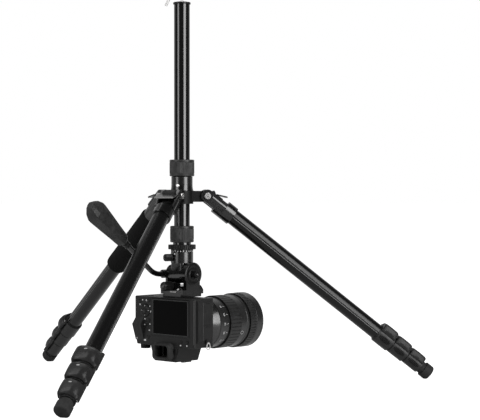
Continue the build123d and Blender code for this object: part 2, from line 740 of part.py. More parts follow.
# Pan body with the barrel that the platform tilts on
PAN_BOTTOM = BASE_DISC + SCALE_RING + PAN_GAP
PAN_TOP = PAN_BOTTOM + PAN_HEIGHT
PAN_KNOB_HEIGHT = PAN_BOTTOM + PAN_HEIGHT / 2
pan_turn = radians(PAN_KNOB_TURN)
knob_side = Vector(sin(pan_turn), -cos(pan_turn), 0)
knob_plane = Plane(
    origin=(0, 0, PAN_KNOB_HEIGHT),
    x_dir=(cos(pan_turn), sin(pan_turn), 0),
    z_dir=knob_side,
)
with BuildPart() as pan_body:
    with BuildSketch(Plane.XY.offset(PAN_BOTTOM)):
        Circle(PAN_D / 2)
    extrude(amount=PAN_HEIGHT)
    with BuildSketch(Plane.XY.offset(PAN_TOP)):
        RectangleRounded(TILT_NECK, TILT_NECK, TILT_NECK / 5)
    extrude(amount=TILT_HEIGHT - PAN_TOP)
    with BuildSketch(Plane.YZ):
        with Locations((0, TILT_HEIGHT)):
            Circle(TILT_BARREL_D / 2)
    extrude(amount=TILT_BARREL / 2, both=True)
    with BuildSketch(Plane.YZ):
        with Locations((0, TILT_HEIGHT)):
            Circle(TILT_SHAFT_D / 2 + RUNNING)
    extrude(amount=TILT_BARREL, both=True, mode=Mode.SUBTRACT)
    with BuildSketch(Plane.XY.offset(PAN_BOTTOM)):
        Circle(PAN_SPIGOT_D / 2 + RUNNING)
    extrude(amount=PAN_SPIGOT, mode=Mode.SUBTRACT)
    with BuildSketch(knob_plane):
        Circle(KNOB_STEM_D / 2 + RUNNING)
    extrude(amount=PAN_D, mode=Mode.SUBTRACT)

with BuildPart() as pan_lock_knob:
    with BuildSketch(knob_plane.offset(PAN_D / 2 - KNOB_STEM / 2)):
        Circle(KNOB_STEM_D / 2)
    extrude(amount=KNOB_STEM)
    with BuildSketch(knob_plane.offset(PAN_D / 2 + KNOB_STANDOFF)):
        Circle(PAN_KNOB_D / 2)
    extrude(amount=PAN_KNOB)
    knob_rim = pan_lock_knob.edges().filter_by(GeomType.CIRCLE).sort_by(Axis((0, 0, 0), knob_side))[-1]
    fillet(knob_rim, PAN_KNOB_EDGE)

# Tilting platform with the dovetail channel, side disc and handle socket
BOSS_D = ROD_D + 2 * ROD_BOSS_WALL
HANDLE_X = TILT_CHEEK + BOSS_D / 2
DISC_OUT = -TILT_CHEEK - DISC_THICK
with BuildPart() as tilt_platform:
    with BuildSketch(Plane.YZ.offset(TILT_CHEEK)):
        with Locations((0, TILT_HEIGHT)):
            Circle(TILT_BARREL_D / 2)
            Rectangle(TILT_BARREL_D, CHANNEL_FLOOR - TILT_HEIGHT, align=(Align.CENTER, Align.MIN))
    extrude(amount=CHEEK_THICK)
    with BuildSketch(Plane.YZ.offset(DISC_OUT)):
        with Locations((0, TILT_HEIGHT)):
            Circle(DISC_D / 2)
            Rectangle(DISC_STEM, CHANNEL_FLOOR - TILT_HEIGHT, align=(Align.CENTER, Align.MIN))
    extrude(amount=DISC_THICK)
    with BuildSketch(Plane.YZ.offset(-TILT_CHEEK)):
        with Locations((0, TILT_HEIGHT)):
            Circle(TILT_SHAFT_D / 2)
    extrude(amount=2 * TILT_CHEEK)
    with BuildSketch(Plane.XZ):
        with BuildLine():
            Polyline(
                (PLATFORM_CREST / 2, PLATFORM_HEIGHT),
                (CLAMP_HALF, CHANNEL_FLOOR),
                (CLAMP_HALF, JAW_HEIGHT),
                (-CLAMP_HALF, JAW_HEIGHT),
                (-CLAMP_HALF, CHANNEL_FLOOR),
                (-PLATFORM_CREST / 2, PLATFORM_HEIGHT),
                close=True,
            )
        make_face()
        with Locations((0, CHANNEL_FLOOR)):
            Rectangle(
                PLATE_WIDTH + 2 * PLATE_GAP,
                JAW_LIP_BOTTOM - CHANNEL_FLOOR,
                align=(Align.CENTER, Align.MIN),
                mode=Mode.SUBTRACT,
            )
            Rectangle(
                PLATE_WIDTH - 2 * JAW_LIP,
                JAW_HEIGHT - CHANNEL_FLOOR,
                align=(Align.CENTER, Align.MIN),
                mode=Mode.SUBTRACT,
            )
    extrude(amount=PLATFORM_LENGTH / 2, both=True)
    with BuildSketch(Plane.XZ.offset(ROD_BOSS)):
        with Locations((HANDLE_X, TILT_HEIGHT)):
            Circle(BOSS_D / 2)
    extrude(amount=-ROD_BOSS)
    with BuildSketch(Plane.XZ.offset(ROD_BOSS)):
        with Locations((HANDLE_X, TILT_HEIGHT)):
            Circle(ROD_D / 2 + SEAT)
    extrude(amount=-ROD_SOCKET - FREE, mode=Mode.SUBTRACT)
    with BuildSketch(Plane.YZ.offset(DISC_OUT)):
        with Locations((0, TILT_HEIGHT)):
            Circle(KNOB_STEM_D / 2 + RUNNING)
    extrude(amount=KNOB_STEM / 2 + FREE, mode=Mode.SUBTRACT)
    with BuildSketch(Plane.XZ.offset(PLATFORM_LENGTH / 2)):
        with Locations((0, PLATFORM_HEIGHT)):
            Circle(CLAMP_BOSS_D / 2)
    extrude(amount=-TILT_BARREL_D / 4)
    with BuildSketch(Plane.YZ):
        with Locations((0, TILT_HEIGHT)):
            Circle(TILT_BARREL_D / 2 + 2 * FREE)
    extrude(amount=TILT_CHEEK, both=True, mode=Mode.SUBTRACT)
    with BuildSketch(Plane.YZ.offset(-TILT_CHEEK)):
        with Locations((0, TILT_HEIGHT)):
            Circle(TILT_SHAFT_D / 2)
    extrude(amount=2 * TILT_CHEEK)
    with BuildSketch(Plane.XZ.offset(PLATFORM_LENGTH / 2)):
        with Locations((0, PLATFORM_HEIGHT)):
            Circle(KNOB_STEM_D / 2 + RUNNING)
    extrude(amount=-KNOB_STEM / 2 - FREE, mode=Mode.SUBTRACT)

with BuildPart() as tilt_lock_knob:
    with BuildSketch(Plane.YZ.offset(DISC_OUT + KNOB_STEM / 2)):
        with Locations((0, TILT_HEIGHT)):
            Circle(KNOB_STEM_D / 2)
    extrude(amount=-KNOB_STEM)
    with BuildSketch(Plane.YZ.offset(DISC_OUT - KNOB_STANDOFF)):
        with Locations((0, TILT_HEIGHT)):
            Circle(TILT_KNOB_D / 2)
    extrude(amount=-TILT_KNOB)
    fillet(tilt_lock_knob.edges().filter_by(GeomType.CIRCLE).sort_by(Axis.X)[0], TILT_KNOB_EDGE)

with BuildPart() as plate_clamp_knob:
    with BuildSketch(Plane.XZ.offset(PLATFORM_LENGTH / 2 - KNOB_STEM / 2)):
        with Locations((0, PLATFORM_HEIGHT)):
            Circle(KNOB_STEM_D / 2)
    extrude(amount=KNOB_STEM)
    with BuildSketch(Plane.XZ.offset(PLATFORM_LENGTH / 2 + KNOB_STANDOFF)):
        with Locations((0, PLATFORM_HEIGHT)):
            Circle(CLAMP_KNOB_D / 2)
    extrude(amount=CLAMP_KNOB)
    fillet(plate_clamp_knob.edges().filter_by(GeomType.CIRCLE).sort_by(Axis.Y)[0], CLAMP_KNOB_EDGE)

# Bent handle rod and its grip
handle_plane = Plane(origin=(HANDLE_X, -ROD_BOSS, TILT_HEIGHT), x_dir=(0, -1, 0), z_dir=(1, 0, 0))
with BuildPart() as handle_rod:
    with BuildLine(handle_plane) as rod_path:
        out = Line((-ROD_SOCKET, 0), (ROD_LEAD, 0))
        bend = JernArc(out @ 1, out % 1, ROD_BEND, ROD_TURN)
        PolarLine(bend @ 1, ROD_STRAIGHT + GRIP_BORE - FREE, direction=bend % 1)
    with BuildSketch(Plane(origin=rod_path.line @ 0, z_dir=rod_path.line % 0)):
        Circle(ROD_D / 2)
    sweep(path=rod_path.line)

rod_end = Plane(origin=rod_path.line @ 1, x_dir=(1, 0, 0), z_dir=rod_path.line % 1)
grip_plane = rod_end.offset(-(GRIP_BORE - FREE))
with BuildPart() as handle_grip:
    with BuildSketch(grip_plane):
        RectangleRounded(GRIP_BASE, GRIP_BASE, GRIP_BASE / 3)
    with BuildSketch(grip_plane.offset(GRIP_WIDEST)):
        RectangleRounded(GRIP_DEPTH, GRIP_WIDTH, GRIP_BASE / 3)
    loft(ruled=True)
    with BuildSketch(grip_plane.offset(GRIP_WIDEST)):
        RectangleRounded(GRIP_DEPTH, GRIP_WIDTH, GRIP_BASE / 3)
    with BuildSketch(grip_plane.offset(GRIP_LENGTH)):
        RectangleRounded(GRIP_TIP, GRIP_TIP, GRIP_BASE / 4)
    loft(ruled=True)
    with BuildSketch(grip_plane):
        Circle(ROD_D / 2 + SEAT)
    extrude(amount=GRIP_BORE, mode=Mode.SUBTRACT)

# Quick-release plate under the camera, with its camera screw
with BuildPart() as release_plate:
    with BuildSketch(Plane.XZ):
        with Locations((0, CHANNEL_FLOOR + PLATE_GAP)):
            Rectangle(PLATE_WIDTH, JAW_FLANGE, align=(Align.CENTER, Align.MIN))
            Rectangle(
                PLATE_WIDTH - 2 * JAW_LIP - 2 * PLATE_GAP,
                CAMERA_BASE - CHANNEL_FLOOR - PLATE_GAP,
                align=(Align.CENTER, Align.MIN),
            )
        with Locations((0, CAMERA_BASE)):
            Rectangle(PLATE_WIDTH, PLATE_PAD, align=(Align.CENTER, Align.MAX))
    extrude(amount=PLATE_LENGTH / 2, both=True)
    with Locations(Plane.XY.offset(CHANNEL_FLOOR + PLATE_GAP).rotated((180, 0, 0))):
        CounterBoreHole(
            PLATE_SCREW_D / 2 + SEAT,
            PLATE_SCREW_HEAD_D / 2 + SEAT,
            JAW_FLANGE,
        )

with BuildPart() as plate_screw:
    with BuildSketch(Plane.XY.offset(CHANNEL_FLOOR + 2 * PLATE_GAP)):
        Circle(PLATE_SCREW_HEAD_D / 2)
    extrude(amount=JAW_FLANGE - PLATE_GAP)
    with BuildSketch(Plane.XY.offset(CHANNEL_FLOOR + 2 * PLATE_GAP)):
        Circle(PLATE_SCREW_D / 2)
    extrude(amount=CAMERA_BASE + PLATE_SCREW_REACH - CHANNEL_FLOOR - 2 * PLATE_GAP)

# Camera body
BODY_WIDTH = BODY_RIGHT - BODY_LEFT
BODY_DEPTH = BODY_FRONT - BODY_BACK
BODY_MID = (BODY_RIGHT + BODY_LEFT) / 2
TOP_Z = BODY_HEIGHT + HUMP_HEIGHT
SCREEN_HINGE_Z = SCREEN_BOTTOM + SCREEN_THICK / 2
SCREEN_HINGE_Y = BODY_BACK - SCREEN_PROUD + SCREEN_THICK / 2
dials = (
    (MODE_DIAL_X, MODE_DIAL_Y),
    (EXPOSURE_DIAL_X, EXPOSURE_DIAL_Y),
)
with BuildPart() as camera_body:
    with BuildSketch():
        with Locations((BODY_MID, BODY_FRONT)):
            RectangleRounded(BODY_WIDTH, BODY_DEPTH, BODY_CORNER, align=(Align.CENTER, Align.MAX))
    extrude(amount=BODY_HEIGHT)
    with BuildSketch():
        with Locations((BODY_RIGHT, BODY_FRONT + HAND_GRIP_DEPTH)):
            RectangleRounded(
                HAND_GRIP_WIDTH,
                HAND_GRIP_DEPTH + 2 * HAND_GRIP_CORNER,
                HAND_GRIP_CORNER,
                align=(Align.MAX, Align.MAX),
            )
    extrude(amount=HAND_GRIP_HEIGHT)
    fillet(camera_body.faces().sort_by(Axis.Z)[0].edges(), BODY_EDGE)
    fillet(camera_body.faces().sort_by(Axis.Z)[-1].edges(), BODY_EDGE)
    with BuildSketch(Plane.XZ):
        with BuildLine():
            Polyline(
                (BODY_RIGHT, BODY_HEIGHT - SHOULDER_DROP),
                (BODY_RIGHT + SHOULDER_CUT, BODY_HEIGHT - SHOULDER_DROP),
                (BODY_RIGHT + SHOULDER_CUT, BODY_HEIGHT),
                (BODY_RIGHT - SHOULDER_CUT, BODY_HEIGHT),
                close=True,
            )
        make_face()
    extrude(amount=BODY_DEPTH + HAND_GRIP_DEPTH, both=True, mode=Mode.SUBTRACT)
    with BuildSketch(Plane.YZ.offset(THUMB_LEFT)):
        with BuildLine():
            Polyline(
                (BODY_BACK + BODY_CORNER, THUMB_BOTTOM),
                (BODY_BACK, THUMB_BOTTOM),
                (BODY_BACK - THUMB_DEPTH, THUMB_PEAK),
                (BODY_BACK, THUMB_TOP),
                (BODY_BACK + BODY_CORNER, THUMB_TOP),
                close=True,
            )
        make_face()
    extrude(amount=BODY_RIGHT - SHOULDER_CUT / 2 - THUMB_LEFT)
    with BuildSketch(Plane.XZ.offset(-HUMP_FRONT)):
        with BuildLine():
            Polyline(
                (-HUMP_BASE / 2, BODY_HEIGHT - BODY_EDGE),
                (-HUMP_TOP / 2, TOP_Z),
                (HUMP_TOP / 2, TOP_Z),
                (HUMP_BASE / 2, BODY_HEIGHT - BODY_EDGE),
                close=True,
            )
        make_face()
    extrude(amount=HUMP_FRONT - HUMP_BACK)
    fillet(camera_body.faces().sort_by(Axis.Z)[-1].edges(), HUMP_EDGE)
    with BuildSketch(Plane.XZ.offset(-BODY_FRONT + MOUNT_HEIGHT)):
        with Locations((0, LENS_HEIGHT)):
            Circle(MOUNT_D / 2)
    extrude(amount=-2 * MOUNT_HEIGHT)
    with BuildSketch(Plane.XZ):
        with Locations((0, TOP_Z)):
            Rectangle(SHOE_WIDTH + 2 * SHOE_WALL, SHOE_SLOT + SHOE_LIP, align=(Align.CENTER, Align.MIN))
            Rectangle(SHOE_WIDTH, SHOE_SLOT, align=(Align.CENTER, Align.MIN), mode=Mode.SUBTRACT)
            Rectangle(
                SHOE_MOUTH,
                SHOE_SLOT + SHOE_LIP,
                align=(Align.CENTER, Align.MIN),
                mode=Mode.SUBTRACT,
            )
    extrude(amount=SHOE_LENGTH / 2, both=True)
    for side, end in ((-1, BODY_LEFT), (1, BODY_RIGHT)):
        reach = 0 if side < 0 else SHOULDER_CUT
        with BuildSketch(Plane.YZ.offset(end - side * reach)):
            with Locations((STRAP_LUG_Y, STRAP_LUG_Z)):
                Circle(STRAP_LUG_D / 2)
        extrude(amount=side * (STRAP_LUG + reach))
    with BuildSketch(Plane.XZ.offset(-BODY_BACK)):
        with Locations((SCREEN_CENTRE, SCREEN_BOTTOM - FREE)):
            Rectangle(
                SCREEN_WIDTH + 2 * FREE,
                SCREEN_HEIGHT + 2 * FREE,
                align=(Align.CENTER, Align.MIN),
            )
    extrude(amount=-(SCREEN_THICK - SCREEN_PROUD + FREE), mode=Mode.SUBTRACT)
    with BuildSketch(Plane.XZ.offset(-BODY_BACK)):
        with Locations((WHEEL_X, WHEEL_Z)):
            Circle(WHEEL_D / 2 + FREE)
    extrude(amount=-(WHEEL_THICK - WHEEL_PROUD), mode=Mode.SUBTRACT)
    with BuildSketch(Plane.XZ.offset(-BODY_BACK)):
        with Locations(*BUTTONS):
            Circle(BUTTON_D / 2 + RUNNING)
    extrude(amount=-(BUTTON_HEIGHT - BUTTON_PROUD + BUTTON_TRAVEL + FREE), mode=Mode.SUBTRACT)
    with BuildSketch(Plane.XZ.offset(-HUMP_BACK)):
        with Locations((0, EYE_HEIGHT)):
            Rectangle(EYECUP_OPENING_WIDTH, EYECUP_OPENING_HEIGHT)
    extrude(amount=-EYE_TUNNEL, mode=Mode.SUBTRACT)
    with BuildSketch(Plane.XY.offset(BODY_HEIGHT)):
        with Locations(*dials):
            Circle(DIAL_PIN_D / 2 + RUNNING)
    extrude(amount=-DIAL_PIN - FREE, mode=Mode.SUBTRACT)
    with BuildSketch(Plane.XY.offset(HAND_GRIP_HEIGHT)):
        with Locations((SHUTTER_X, SHUTTER_Y)):
            Circle(SHUTTER_D / 2 + RUNNING)
    extrude(amount=-(SHUTTER_HEIGHT - SHUTTER_PROUD + SHUTTER_TRAVEL + FREE), mode=Mode.SUBTRACT)
    with BuildSketch():
        Circle(PLATE_SCREW_D / 2 + SEAT)
    extrude(amount=SOCKET_DEPTH, mode=Mode.SUBTRACT)

# Screen panel, rounded along the edge that it hinges on
with BuildPart() as screen:
    with BuildSketch(Plane.YZ.offset(SCREEN_CENTRE - SCREEN_WIDTH / 2)):
        with Locations((SCREEN_HINGE_Y, SCREEN_HINGE_Z)):
            Circle(SCREEN_THICK / 2)
            Rectangle(
                SCREEN_THICK,
                SCREEN_HEIGHT - SCREEN_THICK / 2,
                align=(Align.CENTER, Align.MIN),
            )
    extrude(amount=SCREEN_WIDTH)

# Eyecup with its opening
with BuildPart() as eyecup:
    with BuildSketch(upright(HUMP_BACK, EYE_HEIGHT)):
        RectangleRounded(EYECUP_WIDTH, EYECUP_HEIGHT, EYECUP_HEIGHT / 4)
        RectangleRounded(
            EYECUP_OPENING_WIDTH,
            EYECUP_OPENING_HEIGHT,
            EYECUP_OPENING_HEIGHT / 4,
            mode=Mode.SUBTRACT,
        )
    extrude(amount=EYECUP_DEPTH)
    fillet(eyecup.faces().sort_by(Axis.Y)[0].outer_wire().edges(), EYECUP_DEPTH / 4)


# Dials on the camera's top
def dial(x, y, diameter, height):
    """A notched dial on a pin in the top plate."""
    with BuildPart() as turned:
        with BuildSketch(Plane.XY.offset(BODY_HEIGHT + FREE)):
            with Locations((x, y)):
                Circle(diameter / 2)
                with PolarLocations(diameter / 2, DIAL_NOTCHES):
                    Circle(DIAL_NOTCH_D / 2, mode=Mode.SUBTRACT)
        extrude(amount=height)
        with BuildSketch(Plane.XY.offset(BODY_HEIGHT + FREE)):
            with Locations((x, y)):
                Circle(DIAL_PIN_D / 2)
        extrude(amount=-DIAL_PIN - FREE)
    return turned.part


mode_dial = dial(MODE_DIAL_X, MODE_DIAL_Y, MODE_DIAL_D, MODE_DIAL_HEIGHT)
exposure_dial = dial(EXPOSURE_DIAL_X, EXPOSURE_DIAL_Y, EXPOSURE_DIAL_D, EXPOSURE_DIAL_HEIGHT)

with BuildPart() as shutter_button:
    with BuildSketch(Plane.XY.offset(HAND_GRIP_HEIGHT + SHUTTER_PROUD)):
        with Locations((SHUTTER_X, SHUTTER_Y)):
            Circle(SHUTTER_D / 2)
    extrude(amount=-SHUTTER_HEIGHT)
    fillet(shutter_button.edges().filter_by(GeomType.CIRCLE).sort_by(Axis.Z)[-1], SHUTTER_TRAVEL / 2)

with BuildPart() as control_wheel:
    with BuildSketch(upright(BODY_BACK + WHEEL_THICK - WHEEL_PROUD - FREE, WHEEL_Z)):
        with Locations((WHEEL_X, 0)):
            Circle(WHEEL_D / 2)
    extrude(amount=WHEEL_THICK - FREE)

with BuildPart() as rear_buttons:
    with BuildSketch(upright(BODY_BACK - BUTTON_PROUD, 0)):
        with Locations(*BUTTONS):
            Circle(BUTTON_D / 2)
    extrude(amount=-BUTTON_HEIGHT)

# Lens, turned about its own axis
lens_axis = Axis((0, FLANGE_Y, LENS_HEIGHT), (0, 1, 0))
lens_plane = Plane(origin=(0, FLANGE_Y, LENS_HEIGHT), x_dir=(1, 0, 0), z_dir=(0, 0, 1))
GLASS_BACK = LENS_LENGTH - HOOD_DEPTH - GLASS_THICK
with BuildPart() as lens_barrel:
    with BuildSketch(lens_plane):
        with BuildLine():
            Polyline(
                (0, 0),
                (LENS_CORE_D / 2, 0),
                (LENS_REAR_D / 2, 2 * MOUNT_HEIGHT),
                (LENS_REAR_D / 2, LENS_SMOOTH),
                (LENS_SCALE_D / 2, LENS_SMOOTH),
                (LENS_SCALE_D / 2, ZOOM_START),
                (LENS_CORE_D / 2, ZOOM_START),
                (LENS_CORE_D / 2, BAND_START),
                (LENS_BAND_D / 2, BAND_START),
                (LENS_BAND_D / 2, FOCUS_START),
                (LENS_CORE_D / 2, FOCUS_START),
                (LENS_CORE_D / 2, FRONT_START),
                (LENS_FRONT_D / 2, FRONT_START),
                (LENS_FRONT_D / 2, LENS_LENGTH),
                (FILTER_D / 2, LENS_LENGTH),
                (FILTER_D / 2, LENS_LENGTH - FILTER_DEPTH),
                (HOOD_THROAT_D / 2, LENS_LENGTH - HOOD_DEPTH),
                (HOOD_THROAT_D / 2 - SEAT, GLASS_BACK),
                (0, GLASS_BACK),
                close=True,
            )
        make_face()
    revolve(axis=lens_axis)


def lens_ring(start, length, diameter, ribs):
    """A ribbed ring that turns on the lens's core between two steps."""
    core = LENS_CORE_D / 2 + RUNNING
    with BuildPart() as ring:
        with BuildSketch(lens_plane):
            with Locations(((core + diameter / 2) / 2, start + length / 2)):
                Rectangle(diameter / 2 - core, length - 2 * RING_GAP)
        revolve(axis=lens_axis)
        rib_plane = Plane(
            origin=(0, FLANGE_Y + start + 2 * RIB_DEPTH, LENS_HEIGHT),
            x_dir=(1, 0, 0),
            z_dir=(0, 1, 0),
        )
        with BuildSketch(rib_plane):
            with PolarLocations(diameter / 2, ribs):
                Circle(RIB_DEPTH)
        extrude(amount=length - 4 * RIB_DEPTH, mode=Mode.SUBTRACT)
    return ring.part


zoom_ring = lens_ring(ZOOM_START, ZOOM_RING, ZOOM_RING_D, ZOOM_RIBS)
focus_ring = lens_ring(FOCUS_START, FOCUS_RING, FOCUS_RING_D, FOCUS_RIBS)

with BuildPart() as front_glass:
    with BuildSketch(lens_plane):
        with BuildLine():
            glass_r = HOOD_THROAT_D / 2 - 2 * SEAT
            back = Line((0, GLASS_BACK), (glass_r, GLASS_BACK))
            rim = Line(back @ 1, (glass_r, GLASS_BACK + GLASS_THICK))
            crown = SagittaArc(rim @ 1, (-glass_r, GLASS_BACK + GLASS_THICK), -GLASS_BULGE)
            Line((-glass_r, GLASS_BACK + GLASS_THICK), (-glass_r, GLASS_BACK))
            Line((-glass_r, GLASS_BACK), (0, GLASS_BACK))
        make_face()
        split(bisect_by=Plane.YZ, keep=Keep.TOP)
    revolve(axis=lens_axis)

# Wire triangles through the strap lugs
strap_rings = []
for side, end in ((-1, BODY_LEFT - STRAP_LUG), (1, BODY_RIGHT + STRAP_LUG)):
    with BuildPart() as strap_ring:
        with BuildSketch(Plane.YZ.offset(end)):
            with Locations((STRAP_LUG_Y, STRAP_LUG_Z)):
                Rectangle(STRAP_RING_WIDTH, STRAP_RING_HEIGHT, align=(Align.CENTER, Align.MIN))
                offset(amount=-STRAP_WIRE, mode=Mode.SUBTRACT)
        extrude(amount=side * STRAP_WIRE)
    strap_rings.append(strap_ring.part)

# Every piece in place, by node name
whole = {
    "spider": spider.part.moved(Location((0, 0, PIVOT_Z))),
    "leg_bolts": Compound([leg_bolt.part.moved(leg_plane(a).location) for a in LEGS.values()]),
    "foam_grip": foam_grip.part.moved(leg_plane(LEGS["rear"]).location),
    "column_lock_collar": column_lock_collar.part.moved(Location((0, 0, PIVOT_Z))),
    "column_tube": Compound([outer_tube.part, end_cap.part]).moved(Location((0, 0, PIVOT_Z))),
    "weight_hook": weight_hook.part.moved(Location((0, 0, PIVOT_Z))),
    "column_twist_collar": column_twist_collar.part.moved(Location((0, 0, PIVOT_Z))),
    "inner_column": Compound([inner_tube.part, head_plate.part]).moved(Location((0, 0, PIVOT_Z))),
}
leg_pieces = {
    "leg_top": leg_top.part,
    "angle_stop": angle_stop.part,
    "leg_foot": leg_foot.part,
}
for count, piece in enumerate(leg_sections, 1):
    leg_pieces[f"leg_section_{count}"] = piece
for count, piece in enumerate(lock_levers, 1):
    leg_pieces[f"lock_lever_{count}"] = piece
for leg, angle in LEGS.items():
    for name, piece in leg_pieces.items():
        whole[f"{name}_{leg}"] = piece.moved(leg_plane(angle).location)
head_pieces = {
    "pan_base": pan_base.part,
    "pan_body": pan_body.part,
    "pan_lock_knob": pan_lock_knob.part,
    "tilt_platform": tilt_platform.part,
    "tilt_lock_knob": tilt_lock_knob.part,
    "plate_clamp_knob": plate_clamp_knob.part,
    "handle_rod": handle_rod.part,
    "handle_grip": handle_grip.part,
    "quick_release_plate": Compound([release_plate.part, plate_screw.part]),
}
for name, piece in head_pieces.items():
    whole[name] = piece.moved(hung_plane(HEAD_Z).location)
camera_pieces = {
    "camera_body": camera_body.part,
    "screen": screen.part,
    "eyecup": eyecup.part,
    "mode_dial": mode_dial,
    "exposure_dial": exposure_dial,
    "shutter_button": shutter_button.part,
    "control_wheel": control_wheel.part,
    "rear_buttons": rear_buttons.part,
    "lens_barrel": lens_barrel.part,
    "zoom_ring": zoom_ring,
    "focus_ring": focus_ring,
    "front_glass": front_glass.part,
    "strap_rings": Compound(strap_rings),
}
for name, piece in camera_pieces.items():
    whole[name] = piece.moved(hung_plane(HEAD_Z - CAMERA_BASE).location)

# The origin is under the middle of the whole object, on the floor
box = Compound(list(whole.values())).bounding_box()
to_origin = Location((-box.center().X, -box.center().Y, -box.min.Z))
for name, piece in whole.items():
    finished = piece.moved(to_origin)
    finished.label = name
    export_step(finished, f"parts/{name}.step")
print("column axis", to_origin.position, "pivot height", PIVOT_Z)
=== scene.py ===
import json
import math

import bmesh
import bpy
from mathutils import Euler, Matrix, Vector, noise


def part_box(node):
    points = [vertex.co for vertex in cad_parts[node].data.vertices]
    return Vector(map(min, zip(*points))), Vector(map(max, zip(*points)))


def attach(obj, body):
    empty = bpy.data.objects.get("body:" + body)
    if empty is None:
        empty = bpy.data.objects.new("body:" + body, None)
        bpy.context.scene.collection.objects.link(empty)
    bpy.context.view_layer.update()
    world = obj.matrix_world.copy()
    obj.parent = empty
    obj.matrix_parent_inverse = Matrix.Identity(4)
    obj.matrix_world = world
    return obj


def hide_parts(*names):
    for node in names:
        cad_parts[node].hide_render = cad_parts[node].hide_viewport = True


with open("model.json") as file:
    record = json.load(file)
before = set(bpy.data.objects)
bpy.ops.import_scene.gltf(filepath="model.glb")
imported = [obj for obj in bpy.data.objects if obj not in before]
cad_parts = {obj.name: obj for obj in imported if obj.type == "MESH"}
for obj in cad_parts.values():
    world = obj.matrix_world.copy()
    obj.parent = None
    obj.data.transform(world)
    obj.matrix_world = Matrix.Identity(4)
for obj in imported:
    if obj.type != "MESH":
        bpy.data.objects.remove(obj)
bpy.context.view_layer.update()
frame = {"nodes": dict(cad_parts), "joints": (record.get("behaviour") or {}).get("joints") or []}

# A mirrorless camera hung upside down under a folding tripod. Each group of pieces is modelled in
# millimetres in its own frame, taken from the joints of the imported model, and placed in metres.

MM = 0.001
LEGS = ("right", "rear", "front")
JOINTS = {joint["name"]: joint for joint in frame["joints"]}
UP = Vector((0, 0, 1))


def local_frame(origin, x_dir, z_dir):
    """Matrix from a group's own millimetres to the row frame."""
    z_axis = Vector(z_dir).normalized()
    x_axis = Vector(x_dir).normalized()
    turn = Matrix((x_axis, z_axis.cross(x_axis), z_axis)).transposed()
    return Matrix.Translation(origin) @ turn.to_4x4() @ Matrix.Scale(MM, 4)


def leg_frame(leg):
    """Origin on the leg's pivot, Z down the leg, X out of its upper side."""
    fold = JOINTS[f"leg_{leg}_fold"]
    down = Vector(JOINTS[f"section_2_{leg}_slide"]["axis"])
    return local_frame(fold["pos_m"], down.cross(Vector(fold["axis"])), down)


def shifted(place, x=0.0, y=0.0, z=0.0):
    """The same frame moved by millimetres along its own axes."""
    return place @ Matrix.Translation((x, y, z))


def turned(place, *axes):
    """The same frame with its X, Y and Z axes along three of its old directions."""
    return place @ Matrix(axes).transposed().to_4x4()


def facing_back(place):
    """The same frame with its Z axis out of the back and its Y axis along the old Z."""
    return turned(place, (1, 0, 0), (0, 0, 1), (0, -1, 0))


RIGHT = -Vector(JOINTS["tilt_turn"]["axis"])
PAN_AT = Vector(JOINTS["pan_turn"]["pos_m"])
LENS_AT = Vector(JOINTS["zoom_turn"]["pos_m"])
LENS_DIR = Vector(JOINTS["zoom_turn"]["axis"])
CAMERA_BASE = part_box("camera_body")[1].z
LEG = {leg: leg_frame(leg) for leg in LEGS}
COLUMN = local_frame((PAN_AT.x, PAN_AT.y, JOINTS["leg_right_fold"]["pos_m"][2]), (1, 0, 0), UP)
HEAD = local_frame(PAN_AT, RIGHT, -UP)
CAMERA = local_frame((PAN_AT.x, PAN_AT.y, CAMERA_BASE), RIGHT, -UP)
LENS = local_frame(LENS_AT, RIGHT, LENS_DIR)

# Camera sizes in its own millimetres: X to its right hand, Y forward, Z to its top
BODY_LEFT = -58.6
BODY_BACK = -35.0
BODY_FRONT = 9.0
BODY_HEIGHT = 72.5
BODY_CORNER = 5.0
HUMP_BACK = -36.0
EYE_HEIGHT = 80.0
TOP_HEIGHT = 95.0
REAR = facing_back(shifted(CAMERA, y=BODY_BACK))
EYE = facing_back(shifted(CAMERA, y=HUMP_BACK, z=EYE_HEIGHT))
LEFT_END = turned(shifted(CAMERA, x=BODY_LEFT), (0, -1, 0), (0, 0, 1), (-1, 0, 0))
FRONT = turned(shifted(CAMERA, y=BODY_FRONT), (-1, 0, 0), (0, 0, 1), (0, 1, 0))
UNDERSIDE = turned(CAMERA, (1, 0, 0), (0, -1, 0), (0, 0, -1))
TOP = shifted(CAMERA, z=TOP_HEIGHT)


# Shader building


class Value:
    """A shader socket that adds Math nodes when it is used in an expression."""

    def __init__(self, finish, socket):
        self.finish = finish
        self.socket = socket

    def math(self, operation, *others):
        values = dict(enumerate((self, *others)))
        return self.finish.node("ShaderNodeMath", {"operation": operation}, values)

    def __add__(self, other):
        return self.math("ADD", other)

    def __sub__(self, other):
        return self.math("SUBTRACT", other)

    def __rsub__(self, other):
        return self * -1 + other

    def __mul__(self, other):
        return self.math("MULTIPLY", other)

    def __pow__(self, other):
        return self.math("POWER", other)

    def __gt__(self, other):
        return self.math("GREATER_THAN", other)

    def __lt__(self, other):
        return self.math("LESS_THAN", other)

    def __mod__(self, other):
        return self.math("FLOORED_MODULO", other)

    def __abs__(self):
        return self.math("ABSOLUTE")

    __radd__ = __add__
    __rmul__ = __mul__


